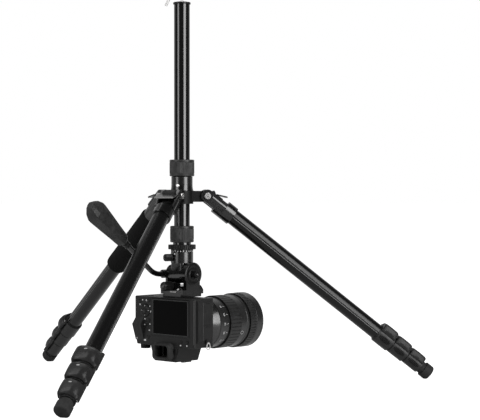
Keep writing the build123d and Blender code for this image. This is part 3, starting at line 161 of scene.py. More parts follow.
class Finish:
    """One surface finish: a Principled material with a small kit for its nodes."""

    def __init__(self, name, **fixed):
        self.material = bpy.data.materials.new(name)
        self.material.use_nodes = True
        self.tree = self.material.node_tree
        self.shader = self.tree.nodes["Principled BSDF"]
        self.set(**fixed)

    def node(self, kind, settings=None, sockets=None, output=0):
        """Adds a node of a kind, sets it up, feeds its sockets and gives one output."""
        made = self.tree.nodes.new(kind)
        for key, value in (settings or {}).items():
            setattr(made, key, value)
        for key, value in (sockets or {}).items():
            self.feed(made.inputs[key], value)
        return Value(self, made.outputs[output])

    def feed(self, socket, value):
        if isinstance(value, Value):
            self.tree.links.new(value.socket, socket)
        else:
            socket.default_value = value

    def set(self, **sockets):
        """Feeds the shader's own sockets, named with underscores for spaces."""
        for words, value in sockets.items():
            self.feed(self.shader.inputs[words.replace("_", " ")], value)

    def place(self, group=None, stretch=(1, 1, 1)):
        """Object coordinates, in a group's own millimetres where one is given."""
        spot = self.node("ShaderNodeTexCoord", output=3)
        if group is None:
            return spot
        where, turn, size = group.decompose()
        scale = [size[axis] * stretch[axis] for axis in range(3)]
        sockets = {"Vector": spot, "Location": where, "Rotation": turn.to_euler(), "Scale": scale}
        return self.node("ShaderNodeMapping", {"vector_type": "TEXTURE"}, sockets)

    def split(self, vector):
        made = self.node("ShaderNodeSeparateXYZ", None, {"Vector": vector})
        return [Value(self, socket) for socket in made.socket.node.outputs]

    def noise(self, vector, scale, detail=3.0, roughness=0.55):
        sockets = {"Vector": vector, "Scale": scale, "Detail": detail, "Roughness": roughness}
        return self.node("ShaderNodeTexNoise", None, sockets)

    def cells(self, vector, scale, randomness=1.0):
        sockets = {"Vector": vector, "Scale": scale, "Randomness": randomness}
        return self.node("ShaderNodeTexVoronoi", None, sockets)

    def span(self, value, low, high, start=0.0, end=1.0):
        """A value eased from one range to another."""
        sockets = {"Value": value, 1: low, 2: high, 3: start, 4: end}
        return self.node("ShaderNodeMapRange", {"interpolation_type": "SMOOTHSTEP"}, sockets)

    def colour(self, share, first, second):
        """A colour mixed from two by a share."""
        sockets = {0: share, 6: first, 7: second}
        return self.node("ShaderNodeMix", {"data_type": "RGBA"}, sockets, output=2)

    def bump(self, height, distance, strength):
        sockets = {"Height": height, "Distance": distance, "Strength": strength}
        return self.node("ShaderNodeBump", None, sockets)


def grey(level, warm=0.0):
    """A near-neutral colour, a little warmer or colder."""
    return (level * (1 + warm), level, level * (1 - warm), 1.0)


# Finishes

TO_DEGREES = 180 / math.pi
GROOVE_HALF = 7.6
GROOVE_HIGHLIGHT_WIDTH = 1.8
DRAWN_STRETCH = (1, 1, 90)
SPUN_STRETCH = (60, 60, 1)
WRAP_EDGE = 50.0
WRAP_TOP = 60.0
FRONT_WRAP_DEPTH = 3.0
FRONT_WRAP_EDGE = 33.0
WRAP_BLEND = 0.4
DEGREE_STEP = 15.0
DEGREE_MARK = 1.6
DEGREE_SHORT = 1.8
DEGREE_RING = (7.2, 10.4)
DEGREE_RADIUS = 16.4
REFLECTION_TINT_MIDDLE = (0.012, 0.006, 0.02, 1)
REFLECTION_TINT_RIM = (0.006, 0.03, 0.022, 1)


def mottled_finish(name, shine, levels, patch, rough, ease=(0.3, 0.7), grain=None):
    """A finish whose colour and roughness vary by one noise, with a finer noise for its grain."""
    made = Finish(name, Specular_IOR_Level=shine)
    mottle = made.noise(made.place(), *patch)
    made.set(Base_Color=made.colour(mottle, grey(levels[0]), grey(levels[1])))
    made.set(Roughness=made.span(mottle, *ease, *rough))
    if grain:
        scale, depth, strength = grain
        made.set(Normal=made.bump(made.noise(made.place(), scale, 2), depth, strength))
    return made.material


def cast_finish(name, level=0.003, rough=0.2, shine=0.8):
    """Glossy black paint over a casting, with the paint's fine orange peel."""
    levels = (level * 0.7, level * 1.4)
    peel = (950, 0.00006, 0.15)
    return mottled_finish(name, shine, levels, (35, 4), (rough - 0.06, rough + 0.08), (0.25, 0.75), peel)


def moulded_finish(name, level, rough, grain=2200, depth=0.00008, shine=0.26):
    """Moulded black plastic with a spark-eroded grain."""
    levels = (level * 0.75, level * 1.3)
    spark = (grain, depth, 0.5)
    return mottled_finish(name, shine, levels, (60, 4), (rough - 0.07, rough + 0.08), grain=spark)


def paint_finish(name, level):
    """Pale marks, slightly uneven; the white ones are screen-printed."""
    return mottled_finish(name, 0.3, (level * 0.8, level), (1200, 2), (0.5, 0.65))


def screen_glass_finish(name):
    """Black cover glass with faint finger marks."""
    return mottled_finish(name, 0.04, (0.0004, 0.001), (70, 5, 0.6), (0.05, 0.16), (0.45, 0.75))


def tube_finish(name, group, shine, rough, grooved=True):
    """Black anodising with faint drawing marks along the tube, and a painted highlight along its grooves'
    edges.
    """
    made = Finish(name, Specular_IOR_Level=shine)
    drawn = made.noise(made.place(group, DRAWN_STRETCH), 1.4, 4)
    smudge = made.noise(made.place(), 22)
    shade = made.colour(drawn, grey(0.0025), grey(0.006))
    if grooved:
        across, along = made.split(made.place(group))[:2]
        turn = abs(along.math("ARCTAN2", across)) * TO_DEGREES
        # A pale band painted along each groove's edges stands in for the highlight there.
        groove_highlight = abs(abs(turn - 90) - GROOVE_HALF) < GROOVE_HIGHLIGHT_WIDTH
        shade = made.colour(groove_highlight, shade, grey(0.16))
    made.set(Base_Color=shade)
    made.set(Roughness=made.span(smudge, 0.3, 0.75, rough, rough + 0.02) + drawn * 0.01)
    return made.material


def rubber_finish(name, level=0.02, rough=0.7, shine=0.2):
    """Matte black rubber, a little dusty."""
    made = Finish(name, Specular_IOR_Level=shine)
    pores = made.noise(made.place(), 1500)
    dust = made.noise(made.place(), 90, 5, 0.65)
    made.set(Base_Color=made.colour(made.span(dust, 0.35, 0.75), grey(level * 0.8), grey(level * 1.5)))
    made.set(Roughness=made.span(dust, 0.3, 0.7, rough - 0.08, rough + 0.1))
    made.set(Normal=made.bump(pores, 0.00012, 0.5))
    return made.material


def foam_finish(name):
    """Closed-cell foam: small pits all over a matte black skin."""
    made = Finish(name, Specular_IOR_Level=0.1)
    pits = made.cells(made.place(), 1100)
    swell = made.noise(made.place(), 120, 4)
    made.set(Base_Color=made.colour(swell, grey(0.004), grey(0.010)))
    made.set(Roughness=made.span(swell, 0.3, 0.7, 0.8, 0.95))
    made.set(Normal=made.bump(pits + swell * 0.6, 0.0003, 0.6))
    return made.material


def steel_finish(name, level=0.62, metal=1.0):
    """Bright steel with fine brushing, or a paler plated steel."""
    made = Finish(name, Metallic=metal)
    brushed = made.noise(made.place(), 2400, 4)
    tarnish = made.noise(made.place(), 80)
    made.set(Base_Color=made.colour(tarnish, grey(level * 0.85, 0.01), grey(level * 1.1, 0.01)))
    made.set(Roughness=made.span(brushed, 0.25, 0.75, 0.2, 0.36))
    made.set(Normal=made.bump(brushed, 0.00003, 0.35))
    return made.material


def shell_finish(name):
    """Camera shell: crackle-painted magnesium, with a leather-like wrap on the hand grip and thumb rest."""
    made = Finish(name, Specular_IOR_Level=0.24)
    across, along, high = made.split(made.place(CAMERA))
    crackle = made.noise(made.place(), 1700)
    hide = made.cells(made.place(), 620, 0.9)
    patch = made.noise(made.place(), 40, 4)
    below = high < WRAP_TOP
    grip_wrap = made.span(across, WRAP_EDGE, WRAP_EDGE + WRAP_BLEND) * below
    forward = made.span(along, FRONT_WRAP_DEPTH, FRONT_WRAP_DEPTH + WRAP_BLEND)
    leftward = made.span(across * -1, FRONT_WRAP_EDGE, FRONT_WRAP_EDGE + WRAP_BLEND)
    wrap = grip_wrap.math("MAXIMUM", forward * leftward * below)
    paint = made.colour(patch, grey(0.008), grey(0.014))
    made.set(Base_Color=made.colour(wrap, paint, grey(0.011)))
    made.set(Roughness=made.span(patch, 0.3, 0.7, 0.4, 0.52) + wrap * 0.12)
    made.set(Normal=made.bump(crackle * (1 - wrap) * 0.35 + hide * wrap, 0.0003, 0.55))
    return made.material


def barrel_finish(name, rough, shine):
    """Satin black lens barrel, turned and painted."""
    made = Finish(name, Specular_IOR_Level=shine)
    spun = made.noise(made.place(LENS, SPUN_STRETCH), 2.2, 4)
    patch = made.noise(made.place(), 45)
    made.set(Base_Color=made.colour(patch, grey(0.008), grey(0.013)))
    made.set(Roughness=made.span(patch, 0.3, 0.7, rough, rough + 0.08) + spun * 0.05)
    made.set(Normal=made.bump(spun, 0.00003, 0.3))
    return made.material


def lens_glass_finish(name):
    """Dark front element, its coating's reflection colour painted into its colour: violet in the middle,
    green towards its rim.
    """
    made = Finish(name, IOR=1.6, Specular_IOR_Level=0.8, Coat_Weight=1.0, Coat_Roughness=0.02)
    across, high = made.split(made.place(LENS))[:2]
    rim = made.span((across * across + high * high) ** 0.5, 6.0, 32.0)
    haze = made.noise(made.place(), 60)
    # The coating's reflection colour is painted into the glass's colour, violet in the middle and green
    # towards the rim.
    made.set(Base_Color=made.colour(rim, REFLECTION_TINT_MIDDLE, REFLECTION_TINT_RIM))
    made.set(Roughness=made.span(haze, 0.4, 0.8, 0.02, 0.06))
    return made.material


def degree_finish(name):
    """The head's base: black paint, with white degree marks round its narrow ring."""
    made = Finish(name, Specular_IOR_Level=0.24)
    across, along, high = made.split(made.place(HEAD))
    turn = across.math("ARCTAN2", along) * TO_DEGREES
    step = abs((turn % DEGREE_STEP) - DEGREE_STEP / 2) < DEGREE_MARK
    long_step = abs((turn % (3 * DEGREE_STEP)) - DEGREE_STEP / 2) < DEGREE_MARK
    low, top = DEGREE_RING
    ring = (high > low) * (high < top)
    short = (high > top - DEGREE_SHORT) * step
    outer = (across * across + along * along) > DEGREE_RADIUS**2
    marks = ring * outer * short.math("MAXIMUM", long_step)
    patch = made.noise(made.place(), 60, 4)
    made.set(Base_Color=made.colour(marks, made.colour(patch, grey(0.005), grey(0.01)), grey(0.7)))
    made.set(Roughness=made.span(patch, 0.25, 0.75, 0.34, 0.46))
    made.set(Normal=made.bump(made.noise(made.place(), 950, 2), 0.0001, 0.3))
    return made.material


TUBE = {leg: tube_finish(f"black_tube_{leg}", LEG[leg], 0.3, 0.22) for leg in LEGS}
COLUMN_TUBE = tube_finish("black_column", COLUMN, 0.72, 0.11, grooved=False)
CAST = cast_finish("black_casting")
HEAD_CAST = cast_finish("black_head_casting", 0.002, 0.17)
HUB_CAST = cast_finish("black_hub_casting", 0.003, 0.5, 0.2)
DEGREE_BASE = degree_finish("degree_ring")
LEVER_PLASTIC = moulded_finish("lever_plastic", 0.017, 0.3, shine=0.16)
COLLAR_PLASTIC = moulded_finish("clamp_plastic", 0.018, 0.36)
KNOB_PLASTIC = moulded_finish("knob_plastic", 0.004, 0.32)
RUBBER = rubber_finish("black_rubber")
COLLAR_RUBBER = rubber_finish("collar_rubber", 0.018, 0.42, 0.4)
GRIP_RUBBER = rubber_finish("grip_rubber", 0.017, 0.46, 0.3)
RIB_RUBBER = rubber_finish("rib_rubber", 0.045, 0.6)
LENS_RUBBER = rubber_finish("lens_ring_rubber", 0.012, 0.45, 0.45)
FOAM = foam_finish("black_foam")
STEEL = steel_finish("bright_steel")
HOOK_STEEL = steel_finish("hook_steel", 0.6, 0.4)
RING_STEEL = steel_finish("ring_steel", 0.8, 0.4)
SHELL = shell_finish("camera_shell")
CONTROL = moulded_finish("camera_control", 0.004, 0.36, 2600, 0.00005)
# Near-black rubber: the clamps' grip ribs, and the strip painted as a groove's shade on the camera's side.
DARK_RUBBER_AND_SHADE = rubber_finish("door_seal", 0.003, 0.8)
# Pale trim painted as edge highlights: the screen's lip and the light bars on the camera's side.
HIGHLIGHT_TRIM = moulded_finish("painted_highlight_trim", 0.05, 0.25, 2600, 0.00003)
STOP_STEEL = steel_finish("stop_steel", 0.08)
PANEL = moulded_finish("camera_panel", 0.011, 0.48, 2400, 0.0001)
BARREL = barrel_finish("lens_barrel_black", 0.24, 0.8)
FLARE = barrel_finish("lens_flare_black", 0.16, 1.0)
SCREEN_GLASS = screen_glass_finish("screen_glass")
LENS_GLASS = lens_glass_finish("coated_glass")
WHITE_PAINT = paint_finish("white_marks", 0.72)
GREY_PAINT = paint_finish("grey_marks", 0.35)


# Mesh building

CREASE = math.radians(32.0)
CORNER_STEPS = 5
NUMERAL_THICK = 0.12
UPRIGHT = Matrix(((0, 0, 1), (1, 0, 0), (0, 1, 0))).to_4x4()


def lathe(profile, steps=96):
    """A piece turned about Z from radius and height points."""
    shape = bmesh.new()
    corners = [shape.verts.new((radius, 0, height)) for radius, height in profile]
    edges = [shape.edges.new(pair) for pair in zip(corners, corners[1:])]
    sweep = {"cent": (0, 0, 0), "axis": UP, "angle": math.tau, "steps": steps, "use_merge": True}
    bmesh.ops.spin(shape, geom=corners + edges, **sweep)
    bmesh.ops.remove_doubles(shape, verts=shape.verts, dist=0.0005)
    bmesh.ops.recalc_face_normals(shape, faces=shape.faces)
    return shape


def lathe_ring(profile, steps=96):
    """A piece with a hole, turned about Z from points that run once round its section."""
    return lathe([*profile, profile[0]], steps)


def soften(shape, offset, segments=2, angle=30.0):
    """Rounds the sharp edges of a shape."""
    limit = math.radians(angle)
    bmesh.ops.bevel(
        shape,
        geom=[edge for edge in shape.edges if edge.is_manifold and edge.calc_face_angle() > limit],
        offset=offset,
        segments=segments,
        profile=0.5,
        affect="EDGES",
        material=-1,
        clamp_overlap=True,
    )
    return shape


def join(shape, other):
    """Adds one shape's mesh to another, or gives the other if there is none yet."""
    if shape is None:
        return other
    mesh = bpy.data.meshes.new("joined")
    other.to_mesh(mesh)
    other.free()
    shape.from_mesh(mesh)
    bpy.data.meshes.remove(mesh)
    return shape


def joined(shapes):
    """One shape out of several."""
    whole = None
    for shape in shapes:
        whole = join(whole, shape)
    return whole


def moved(shape, matrix):
    bmesh.ops.transform(shape, matrix=matrix, verts=shape.verts)
    return shape


def slid(shape, offset):
    return moved(shape, Matrix.Translation(offset))


def bar(size, edge=0.0, centre=(0, 0, 0), shape=None):
    """A block with softened edges."""
    block = bmesh.new()
    bmesh.ops.create_cube(block, size=1.0)
    bmesh.ops.scale(block, vec=size, verts=block.verts)
    if edge:
        soften(block, edge)
    return join(shape, slid(block, centre))


def rounded_face(width, height, corner, depth=0.0, shape=None):
    """A flat rectangle with round corners, as one face at a depth."""
    flat = bmesh.new()
    bmesh.ops.create_grid(flat, x_segments=1, y_segments=1, size=0.5)
    bmesh.ops.scale(flat, vec=(width, height, 1), verts=flat.verts)
    bmesh.ops.bevel(
        flat,
        geom=flat.verts[:],
        offset=corner,
        segments=CORNER_STEPS,
        profile=0.5,
        affect="VERTICES",
        material=-1,
    )
    return join(shape, slid(flat, (0, 0, depth)))


def thicken(shape, thick):
    """Raises a flat face into a block along Z."""
    grown = bmesh.ops.extrude_face_region(shape, geom=shape.faces[:])["geom"]
    raised = [part for part in grown if isinstance(part, bmesh.types.BMVert)]
    bmesh.ops.translate(shape, vec=(0, 0, thick), verts=raised)


def plate(width, height, corner, thick, edge, centre=(0, 0, 0)):
    """A flat plate with round corners, standing on the XY plane."""
    shape = rounded_face(width, height, corner)
    thicken(shape, thick)
    bmesh.ops.recalc_face_normals(shape, faces=shape.faces)
    soften(shape, edge, 2, 50.0)
    return slid(shape, centre)


def rounded_ring(loops):
    """A ring bridged through round-cornered loops of width, height, corner and depth."""
    shape = bmesh.new()
    rings = []
    for width, height, corner, depth in loops:
        before = set(shape.edges)
        rounded_face(width, height, corner, depth, shape)
        rings.append([edge for edge in shape.edges if edge not in before])
    bmesh.ops.delete(shape, geom=shape.faces[:], context="FACES_ONLY")
    for first, second in zip(rings, rings[1:] + rings[:1]):
        bmesh.ops.bridge_loops(shape, edges=first + second)
    bmesh.ops.recalc_face_normals(shape, faces=shape.faces)
    return shape


def flute(shape, count, depth, inner, low, high, width=0.5):
    """Presses even grooves into the rim of a turned shape between two heights."""
    for vert in shape.verts:
        radius = math.hypot(vert.co.x, vert.co.y)
        if radius < inner or not low <= vert.co.z <= high:
            continue
        share = math.cos(count * math.atan2(vert.co.y, vert.co.x))
        press = max(0.0, share - 1 + 2 * width) / (2 * width)
        vert.co.xy *= (radius - depth * press) / radius
    return shape


def arc_bar(inner, outer, low, high, start, end, steps=8, shape=None):
    """A curved bar: a small rectangle swept round Z between two angles in degrees."""
    made = bmesh.new()
    corners = [(inner, 0, low), (outer, 0, low), (outer, 0, high), (inner, 0, high)]
    face = made.faces.new([made.verts.new(corner) for corner in corners])
    made.transform(Matrix.Rotation(math.radians(start), 4, "Z"))
    sweep = {"cent": (0, 0, 0), "axis": UP, "angle": math.radians(end - start), "steps": steps}
    bmesh.ops.spin(made, geom=[face, *face.edges, *face.verts], **sweep)
    bmesh.ops.recalc_face_normals(made, faces=made.faces)
    return join(shape, made)


def tick_ring(count, size, reach, height):
    """Small bars set evenly round Z."""
    turns = [Matrix.Rotation(step * math.tau / count, 4, "Z") for step in range(count)]
    return joined(moved(bar(size, 0.0, (reach, 0, height)), turn) for turn in turns)


def piece(name, shape, place, body, finish, replaces=()):
    """Puts a shape into the scene, in the row frame, riding on a body."""
    moved(shape, place)
    mesh = bpy.data.meshes.new(name)
    shape.to_mesh(mesh)
    shape.free()
    mesh.shade_smooth()
    mesh.set_sharp_from_angle(angle=CREASE)
    mesh.materials.append(finish)
    made = bpy.data.objects.new(name, mesh)
    bpy.context.scene.collection.objects.link(made)
    flats = made.modifiers.new("even_flats", "WEIGHTED_NORMAL")
    flats.keep_sharp = True
    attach(made, body)
    if replaces:
        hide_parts(*replaces)
    return made


def lettering(text, size):
    """Plain numerals as a thin mesh, centred on the origin and standing on the XY plane."""
    curve = bpy.data.curves.new("numeral", "FONT")
    curve.body = text
    curve.size = size
    curve.align_x = "CENTER"
    curve.align_y = "CENTER"
    curve.extrude = NUMERAL_THICK / 2
    curve.resolution_u = 3
    holder = bpy.data.objects.new("numeral", curve)
    bpy.context.scene.collection.objects.link(holder)
    mesh = bpy.data.meshes.new_from_object(holder)
    shape = bmesh.new()
    shape.from_mesh(mesh)
    bpy.data.objects.remove(holder)
    bpy.data.curves.remove(curve)
    bpy.data.meshes.remove(mesh)
    bmesh.ops.remove_doubles(shape, verts=shape.verts, dist=0.002)
    return shape


# Finishes of the CAD nodes

CAD_FINISH = {
    "spider": HUB_CAST,
    "leg_bolts": STEEL,
    "column_lock_collar": COLLAR_RUBBER,
    "column_twist_collar": COLLAR_RUBBER,
    "column_tube": COLUMN_TUBE,
    "inner_column": COLUMN_TUBE,
    "weight_hook": HOOK_STEEL,
    "pan_base": DEGREE_BASE,
    "pan_body": HEAD_CAST,
    "tilt_platform": HEAD_CAST,
    "handle_rod": HEAD_CAST,
    "quick_release_plate": CAST,
    "camera_body": SHELL,
    "screen": PANEL,
    "mode_dial": CONTROL,
    "exposure_dial": CONTROL,
    "shutter_button": CONTROL,
    "zoom_ring": LENS_RUBBER,
    "focus_ring": LENS_RUBBER,
    "front_glass": LENS_GLASS,
}
for leg in LEGS:
    CAD_FINISH[f"leg_top_{leg}"] = CAST
    CAD_FINISH[f"angle_stop_{leg}"] = STOP_STEEL
    CAD_FINISH[f"leg_foot_{leg}"] = RUBBER
    for section in (1, 2, 3, 4):
        CAD_FINISH[f"leg_section_{section}_{leg}"] = TUBE[leg]
for node, finish in CAD_FINISH.items():
    materials = frame["nodes"][node].data.materials
    materials.clear()
    materials.append(finish)


# Legs

FOAM_START = 50.0
FOAM_END = 180.0
FOAM_RADIUS = 16.7
FOAM_BORE = 12.05
FOAM_EDGE = 4.5
FOAM_ROLL = 8
FOAM_STATIONS = 30


def foam_sleeve():
    """Foam sleeve on the rear leg: rolled ends and a slightly uneven skin."""
    length = FOAM_END - FOAM_START
    straight = length - 2 * FOAM_EDGE
    roll = []
    for count in range(FOAM_ROLL + 1):
        turn = math.radians(90 * count / FOAM_ROLL)
        roll.append((FOAM_RADIUS - FOAM_EDGE * (1 - math.sin(turn)), FOAM_EDGE * (1 - math.cos(turn))))
    profile = [(FOAM_BORE, 0), *roll]
    for count in range(1, FOAM_STATIONS):
        profile.append((FOAM_RADIUS, FOAM_EDGE + straight * count / FOAM_STATIONS))
    profile += [(radius, length - high) for radius, high in reversed(roll)]
    profile.append((FOAM_BORE, length))
    shape = lathe_ring(profile, 72)
    for vert in shape.verts:
        radius = math.hypot(vert.co.x, vert.co.y)
        if radius > FOAM_BORE + 1:
            sink = 0.25 + 0.35 * noise.noise(vert.co * 0.09) + 0.12 * noise.noise(vert.co * 0.4)
            vert.co.xy *= (radius - max(sink, 0.0)) / radius
    place = shifted(LEG["rear"], z=FOAM_START)
    made = piece("foam_sleeve", shape, place, "leg_rear", FOAM, ("foam_grip",))


TUBE_RADIUS = 12.0
TUBE_STEP = 1.5
TUBE_WALL = 1.2
TUBE_EDGE = 0.3
TUBE_START = 33.0
TUBE_STAGGER = 15.0
TUBE_PLAY = 0.3
GROOVE_DEPTH = 0.5
CLAMP_LENGTH = 28.4
CLAMP_PITCH = 29.0
CLAMP_SEAT = 15.0
FOOT_SEAT = 10.0
LEVER_RISE = 4.3
LEVER_GAP = 0.45
LEVER_LENGTH = 26.0
LEVER_INSET = 1.2
LEVER_CUTS = 11
SEAM = 1.5
PIN_OUT = 3.35
PIN_ACROSS = 1.5
PIN_RADIUS = 1.1
KNUCKLE = 2.9
KNUCKLE_LENGTH = 6.0
KNUCKLE_PLAY = 0.2
RIB_COUNT = 9
RIB_MIDDLE = 104
RIB_REACH = 17
RIB_START = 3.8
RIB_FIELD = 20.0
RIB_WIDTH = 1.1
SOCKET_RADIUS = 14.4
SOCKET_BORE = 12.05
SOCKET_START = 21.0
SOCKET_LENGTH = 29.2
SOCKET_CUT = 12.6
SOCKET_OPEN = 56.25
SOCKET_GROOVE = 0.4
SOCKET_LIP = 0.9
CHEEK_FACE = 14.55
CHEEK_RIB = 6.0
CHEEK_RIB_WALL = 2.0
CHEEK_RIB_HALF = 38
CHEEK_RIB_SINK = 4.9
CHEEK_RIB_UP = 1.8
CHEEK_RIB_START = 7.0


def leg_tube(radius, start, end):
    """Drawn leg tube with a shallow groove along each side."""
    bore = radius - TUBE_WALL
    brim = radius - TUBE_EDGE
    outside = [(brim, start), (radius, start + TUBE_EDGE), (radius, end - TUBE_EDGE), (brim, end)]
    shape = lathe_ring([(bore, start), *outside, (bore, end)], 120)
    for vert in shape.verts:
        turn = abs(math.degrees(math.atan2(vert.co.y, vert.co.x)))
        reach = math.hypot(vert.co.x, vert.co.y)
        if abs(turn - 90) < GROOVE_HALF and reach > bore + TUBE_EDGE:
            vert.co.xy *= (reach - GROOVE_DEPTH) / reach
    return shape


def leg_socket():
    """Turned socket of the leg's casting, with a lip at its mouth, room above for the angle stop and
    a rounded rib along each cheek."""
    groove = SOCKET_RADIUS - SOCKET_GROOVE
    profile = [
        (SOCKET_BORE, SOCKET_CUT),
        (SOCKET_RADIUS, SOCKET_CUT),
        (SOCKET_RADIUS, SOCKET_LENGTH - 4.2),
        (groove, SOCKET_LENGTH - 3.8),
        (groove, SOCKET_LENGTH - 3.2),
        (SOCKET_RADIUS, SOCKET_LENGTH - 2.8),
        (SOCKET_RADIUS, SOCKET_LENGTH - SOCKET_LIP),
        (SOCKET_RADIUS - SOCKET_LIP, SOCKET_LENGTH),
        (SOCKET_BORE, SOCKET_LENGTH),
    ]
    ends = (SOCKET_OPEN, 360 - SOCKET_OPEN)
    shape = arc_bar(SOCKET_BORE, SOCKET_RADIUS, 0, SOCKET_CUT, *ends, 66, lathe_ring(profile))
    low = CHEEK_RIB_START - SOCKET_START
    for side in (-1, 1):
        ends = (side * 90 - CHEEK_RIB_HALF, side * 90 + CHEEK_RIB_HALF)
        rib = arc_bar(CHEEK_RIB - CHEEK_RIB_WALL, CHEEK_RIB, low, SOCKET_CUT, *ends, 24)
        slid(rib, (CHEEK_RIB_UP, side * (CHEEK_FACE - CHEEK_RIB_SINK), 0))
        join(shape, soften(rib, 0.25))
    return shape


def clamp_collar(collar, bore):
    """Clamp collar with lips at its ends and two hinge knuckles."""
    inner = collar - SEAM
    profile = [(bore, 0), (inner, 0), (inner, SEAM), (collar - 0.4, SEAM), (collar, SEAM + 0.4)]
    profile += [(collar, CLAMP_LENGTH - 0.5), (collar - 0.5, CLAMP_LENGTH), (bore, CLAMP_LENGTH)]
    shape = lathe_ring(profile)
    top = KNUCKLE_LENGTH - KNUCKLE_PLAY
    ring = [(PIN_RADIUS, KNUCKLE_PLAY), (KNUCKLE, KNUCKLE_PLAY), (KNUCKLE, top), (PIN_RADIUS, top)]
    for low in (0, CLAMP_LENGTH - KNUCKLE_LENGTH):
        join(shape, slid(lathe_ring(ring, 32), (PIN_ACROSS, -(collar + PIN_OUT), low)))
        web = (PIN_ACROSS, -(collar + 0.6), low + KNUCKLE_LENGTH / 2)
        bar((2 * KNUCKLE - 0.4, 4.2, KNUCKLE_LENGTH - 0.5), 0.5, web, shape)
    return shape


def clamp_pin(collar):
    """Hinge pin with slightly domed ends."""
    profile = [(0, -0.25), (0.8, -0.1), (PIN_RADIUS, 0.2)]
    profile += [(radius, CLAMP_LENGTH - high) for radius, high in reversed(profile)]
    return slid(lathe(profile, 24), (PIN_ACROSS, -(collar + PIN_OUT), 0))


def lever_outline(collar):
    """Section of a flip lever: round its collar inside, then its hinge, its lobe and its flat top."""
    inner = collar + LEVER_GAP
    outer = collar + LEVER_RISE
    pin = Vector((PIN_ACROSS, -(collar + PIN_OUT)))
    points = []
    for count in range(11):
        turn = math.radians(74 - 130 * count / 10)
        points.append((inner * math.cos(turn), inner * math.sin(turn)))
    points.append((pin.x + 0.6, pin.y + KNUCKLE * 0.95))
    for count in range(5):
        turn = math.radians(130 + 130 * count / 4)
        points.append((pin.x + KNUCKLE * math.cos(turn), pin.y + KNUCKLE * math.sin(turn)))
    points += [
        (collar * 0.5, pin.y - 1.4),
        (collar * 0.82, pin.y - 0.4),
        (collar * 1.04, pin.y + 1.6),
        (outer - 0.7, -collar * 0.82),
        (outer, -collar * 0.5),
        (outer, collar * 0.05),
        (outer, collar * 0.55),
        (outer - 0.6, collar * 0.8),
        (outer - 2.4, collar * 1.0),
        (collar * 0.8, collar + 1.2),
        (collar * 0.5, collar + 1.45),
    ]
    return points


def lever_shape(collar):
    """A flip lever that hugs its collar: flat on top, with a leaf-shaped lobe over its hinge."""
    inner = collar + LEVER_GAP
    shape = bmesh.new()
    shape.faces.new([shape.verts.new((x, y, 0)) for x, y in lever_outline(collar)])
    thicken(shape, LEVER_LENGTH)
    long_edges = [edge for edge in shape.edges if abs(edge.verts[0].co.z - edge.verts[1].co.z) > 1]
    bmesh.ops.subdivide_edges(shape, edges=long_edges, cuts=LEVER_CUTS)
    for vert in shape.verts:
        share = vert.co.z / LEVER_LENGTH
        leaf = max(0.0, math.sin(math.pi * share)) ** 0.55
        reach = math.hypot(vert.co.x, vert.co.y) - inner
        if reach < 0.3:
            continue
        if vert.co.x > 0.45 * collar and vert.co.y < -0.3 * collar:
            vert.co.xy *= (inner + reach * (0.3 + 0.7 * leaf)) / (inner + reach)
        elif vert.co.x > 0.45 * collar:
            vert.co.xy *= (inner + reach * (0.76 + 0.24 * leaf**0.5)) / (inner + reach)
        if vert.co.y > 0.9 * collar and vert.co.x < 0.9 * collar:
            vert.co.x += 2.6 * leaf - 2.2
    bmesh.ops.recalc_face_normals(shape, faces=shape.faces)
    return soften(shape, 0.5, 2, 36.0)


def clamp_ribs(collar):
    """Short grip ribs in an oval patch beside the lever's free edge."""
    shape = None
    for rib in range(RIB_COUNT):
        share = (rib + 0.5) / RIB_COUNT
        reach = RIB_REACH * math.sqrt(1 - (2 * share - 1) ** 2)
        low = RIB_START + RIB_FIELD * share
        ends = (RIB_MIDDLE - reach, RIB_MIDDLE + reach)
        shape = arc_bar(collar - 0.2, collar + 0.8, low, low + RIB_WIDTH, *ends, 6, shape)
    return shape


def lever_mark(collar):
    """Small pale patch on a lever's flat face, near its upper end."""
    spot = (collar + LEVER_RISE - 0.1, -1.5, LEVER_LENGTH * 0.27)
    return moved(plate(4.6, 1.9, 0.9, 0.16, 0.05), Matrix.Translation(spot) @ UPRIGHT)


def clamp_pieces(leg, count, pin, body, node):
    """The clamp at the end of a leg's section, with its ribs, hinge pin and lever."""
    collar = -pin.y - PIN_OUT
    bore = TUBE_RADIUS - TUBE_STEP * count + TUBE_PLAY
    spot = shifted(LEG[leg], z=pin.z)
    on_lever = shifted(spot, z=LEVER_INSET)
    lever = f"lever_{count}_{leg}"
    ring = clamp_collar(collar, bore)
    piece(f"clamp_collar_{count}_{leg}", ring, spot, body, COLLAR_PLASTIC, node)
    piece(f"clamp_ribs_{count}_{leg}", clamp_ribs(collar), spot, body, DARK_RUBBER_AND_SHADE)
    piece(f"clamp_pin_{count}_{leg}", clamp_pin(collar), spot, body, STEEL, node)
    flip = lever_shape(collar)
    piece(f"flip_{lever}", flip, on_lever, lever, LEVER_PLASTIC, (f"lock_{lever}",))
    piece(f"{lever}_mark", lever_mark(collar), on_lever, lever, GREY_PAINT)


def leg_pieces(leg):
    place = LEG[leg]
    socket = shifted(place, z=SOCKET_START)
    piece(f"leg_socket_{leg}", leg_socket(), socket, f"leg_{leg}", CAST)
    flips = [Vector(JOINTS[f"lever_{count}_{leg}_flip"]["pos_m"]) for count in (1, 2, 3)]
    pins = [place.inverted() @ flip for flip in flips]
    ends = [pin.z + CLAMP_SEAT for pin in pins]
    ends.append(pins[-1].z + CLAMP_PITCH + FOOT_SEAT)
    for index, end in enumerate(ends):
        count = index + 1
        body = f"section_{count}_{leg}" if index else f"leg_{leg}"
        node = (f"leg_section_{count}_{leg}",)
        tube = leg_tube(TUBE_RADIUS - TUBE_STEP * index, TUBE_START + TUBE_STAGGER * index, end)
        piece(f"leg_tube_{count}_{leg}", tube, place, body, TUBE[leg], node)
        if index < len(pins):
            clamp_pieces(leg, count, pins[index], body, node)


# Column

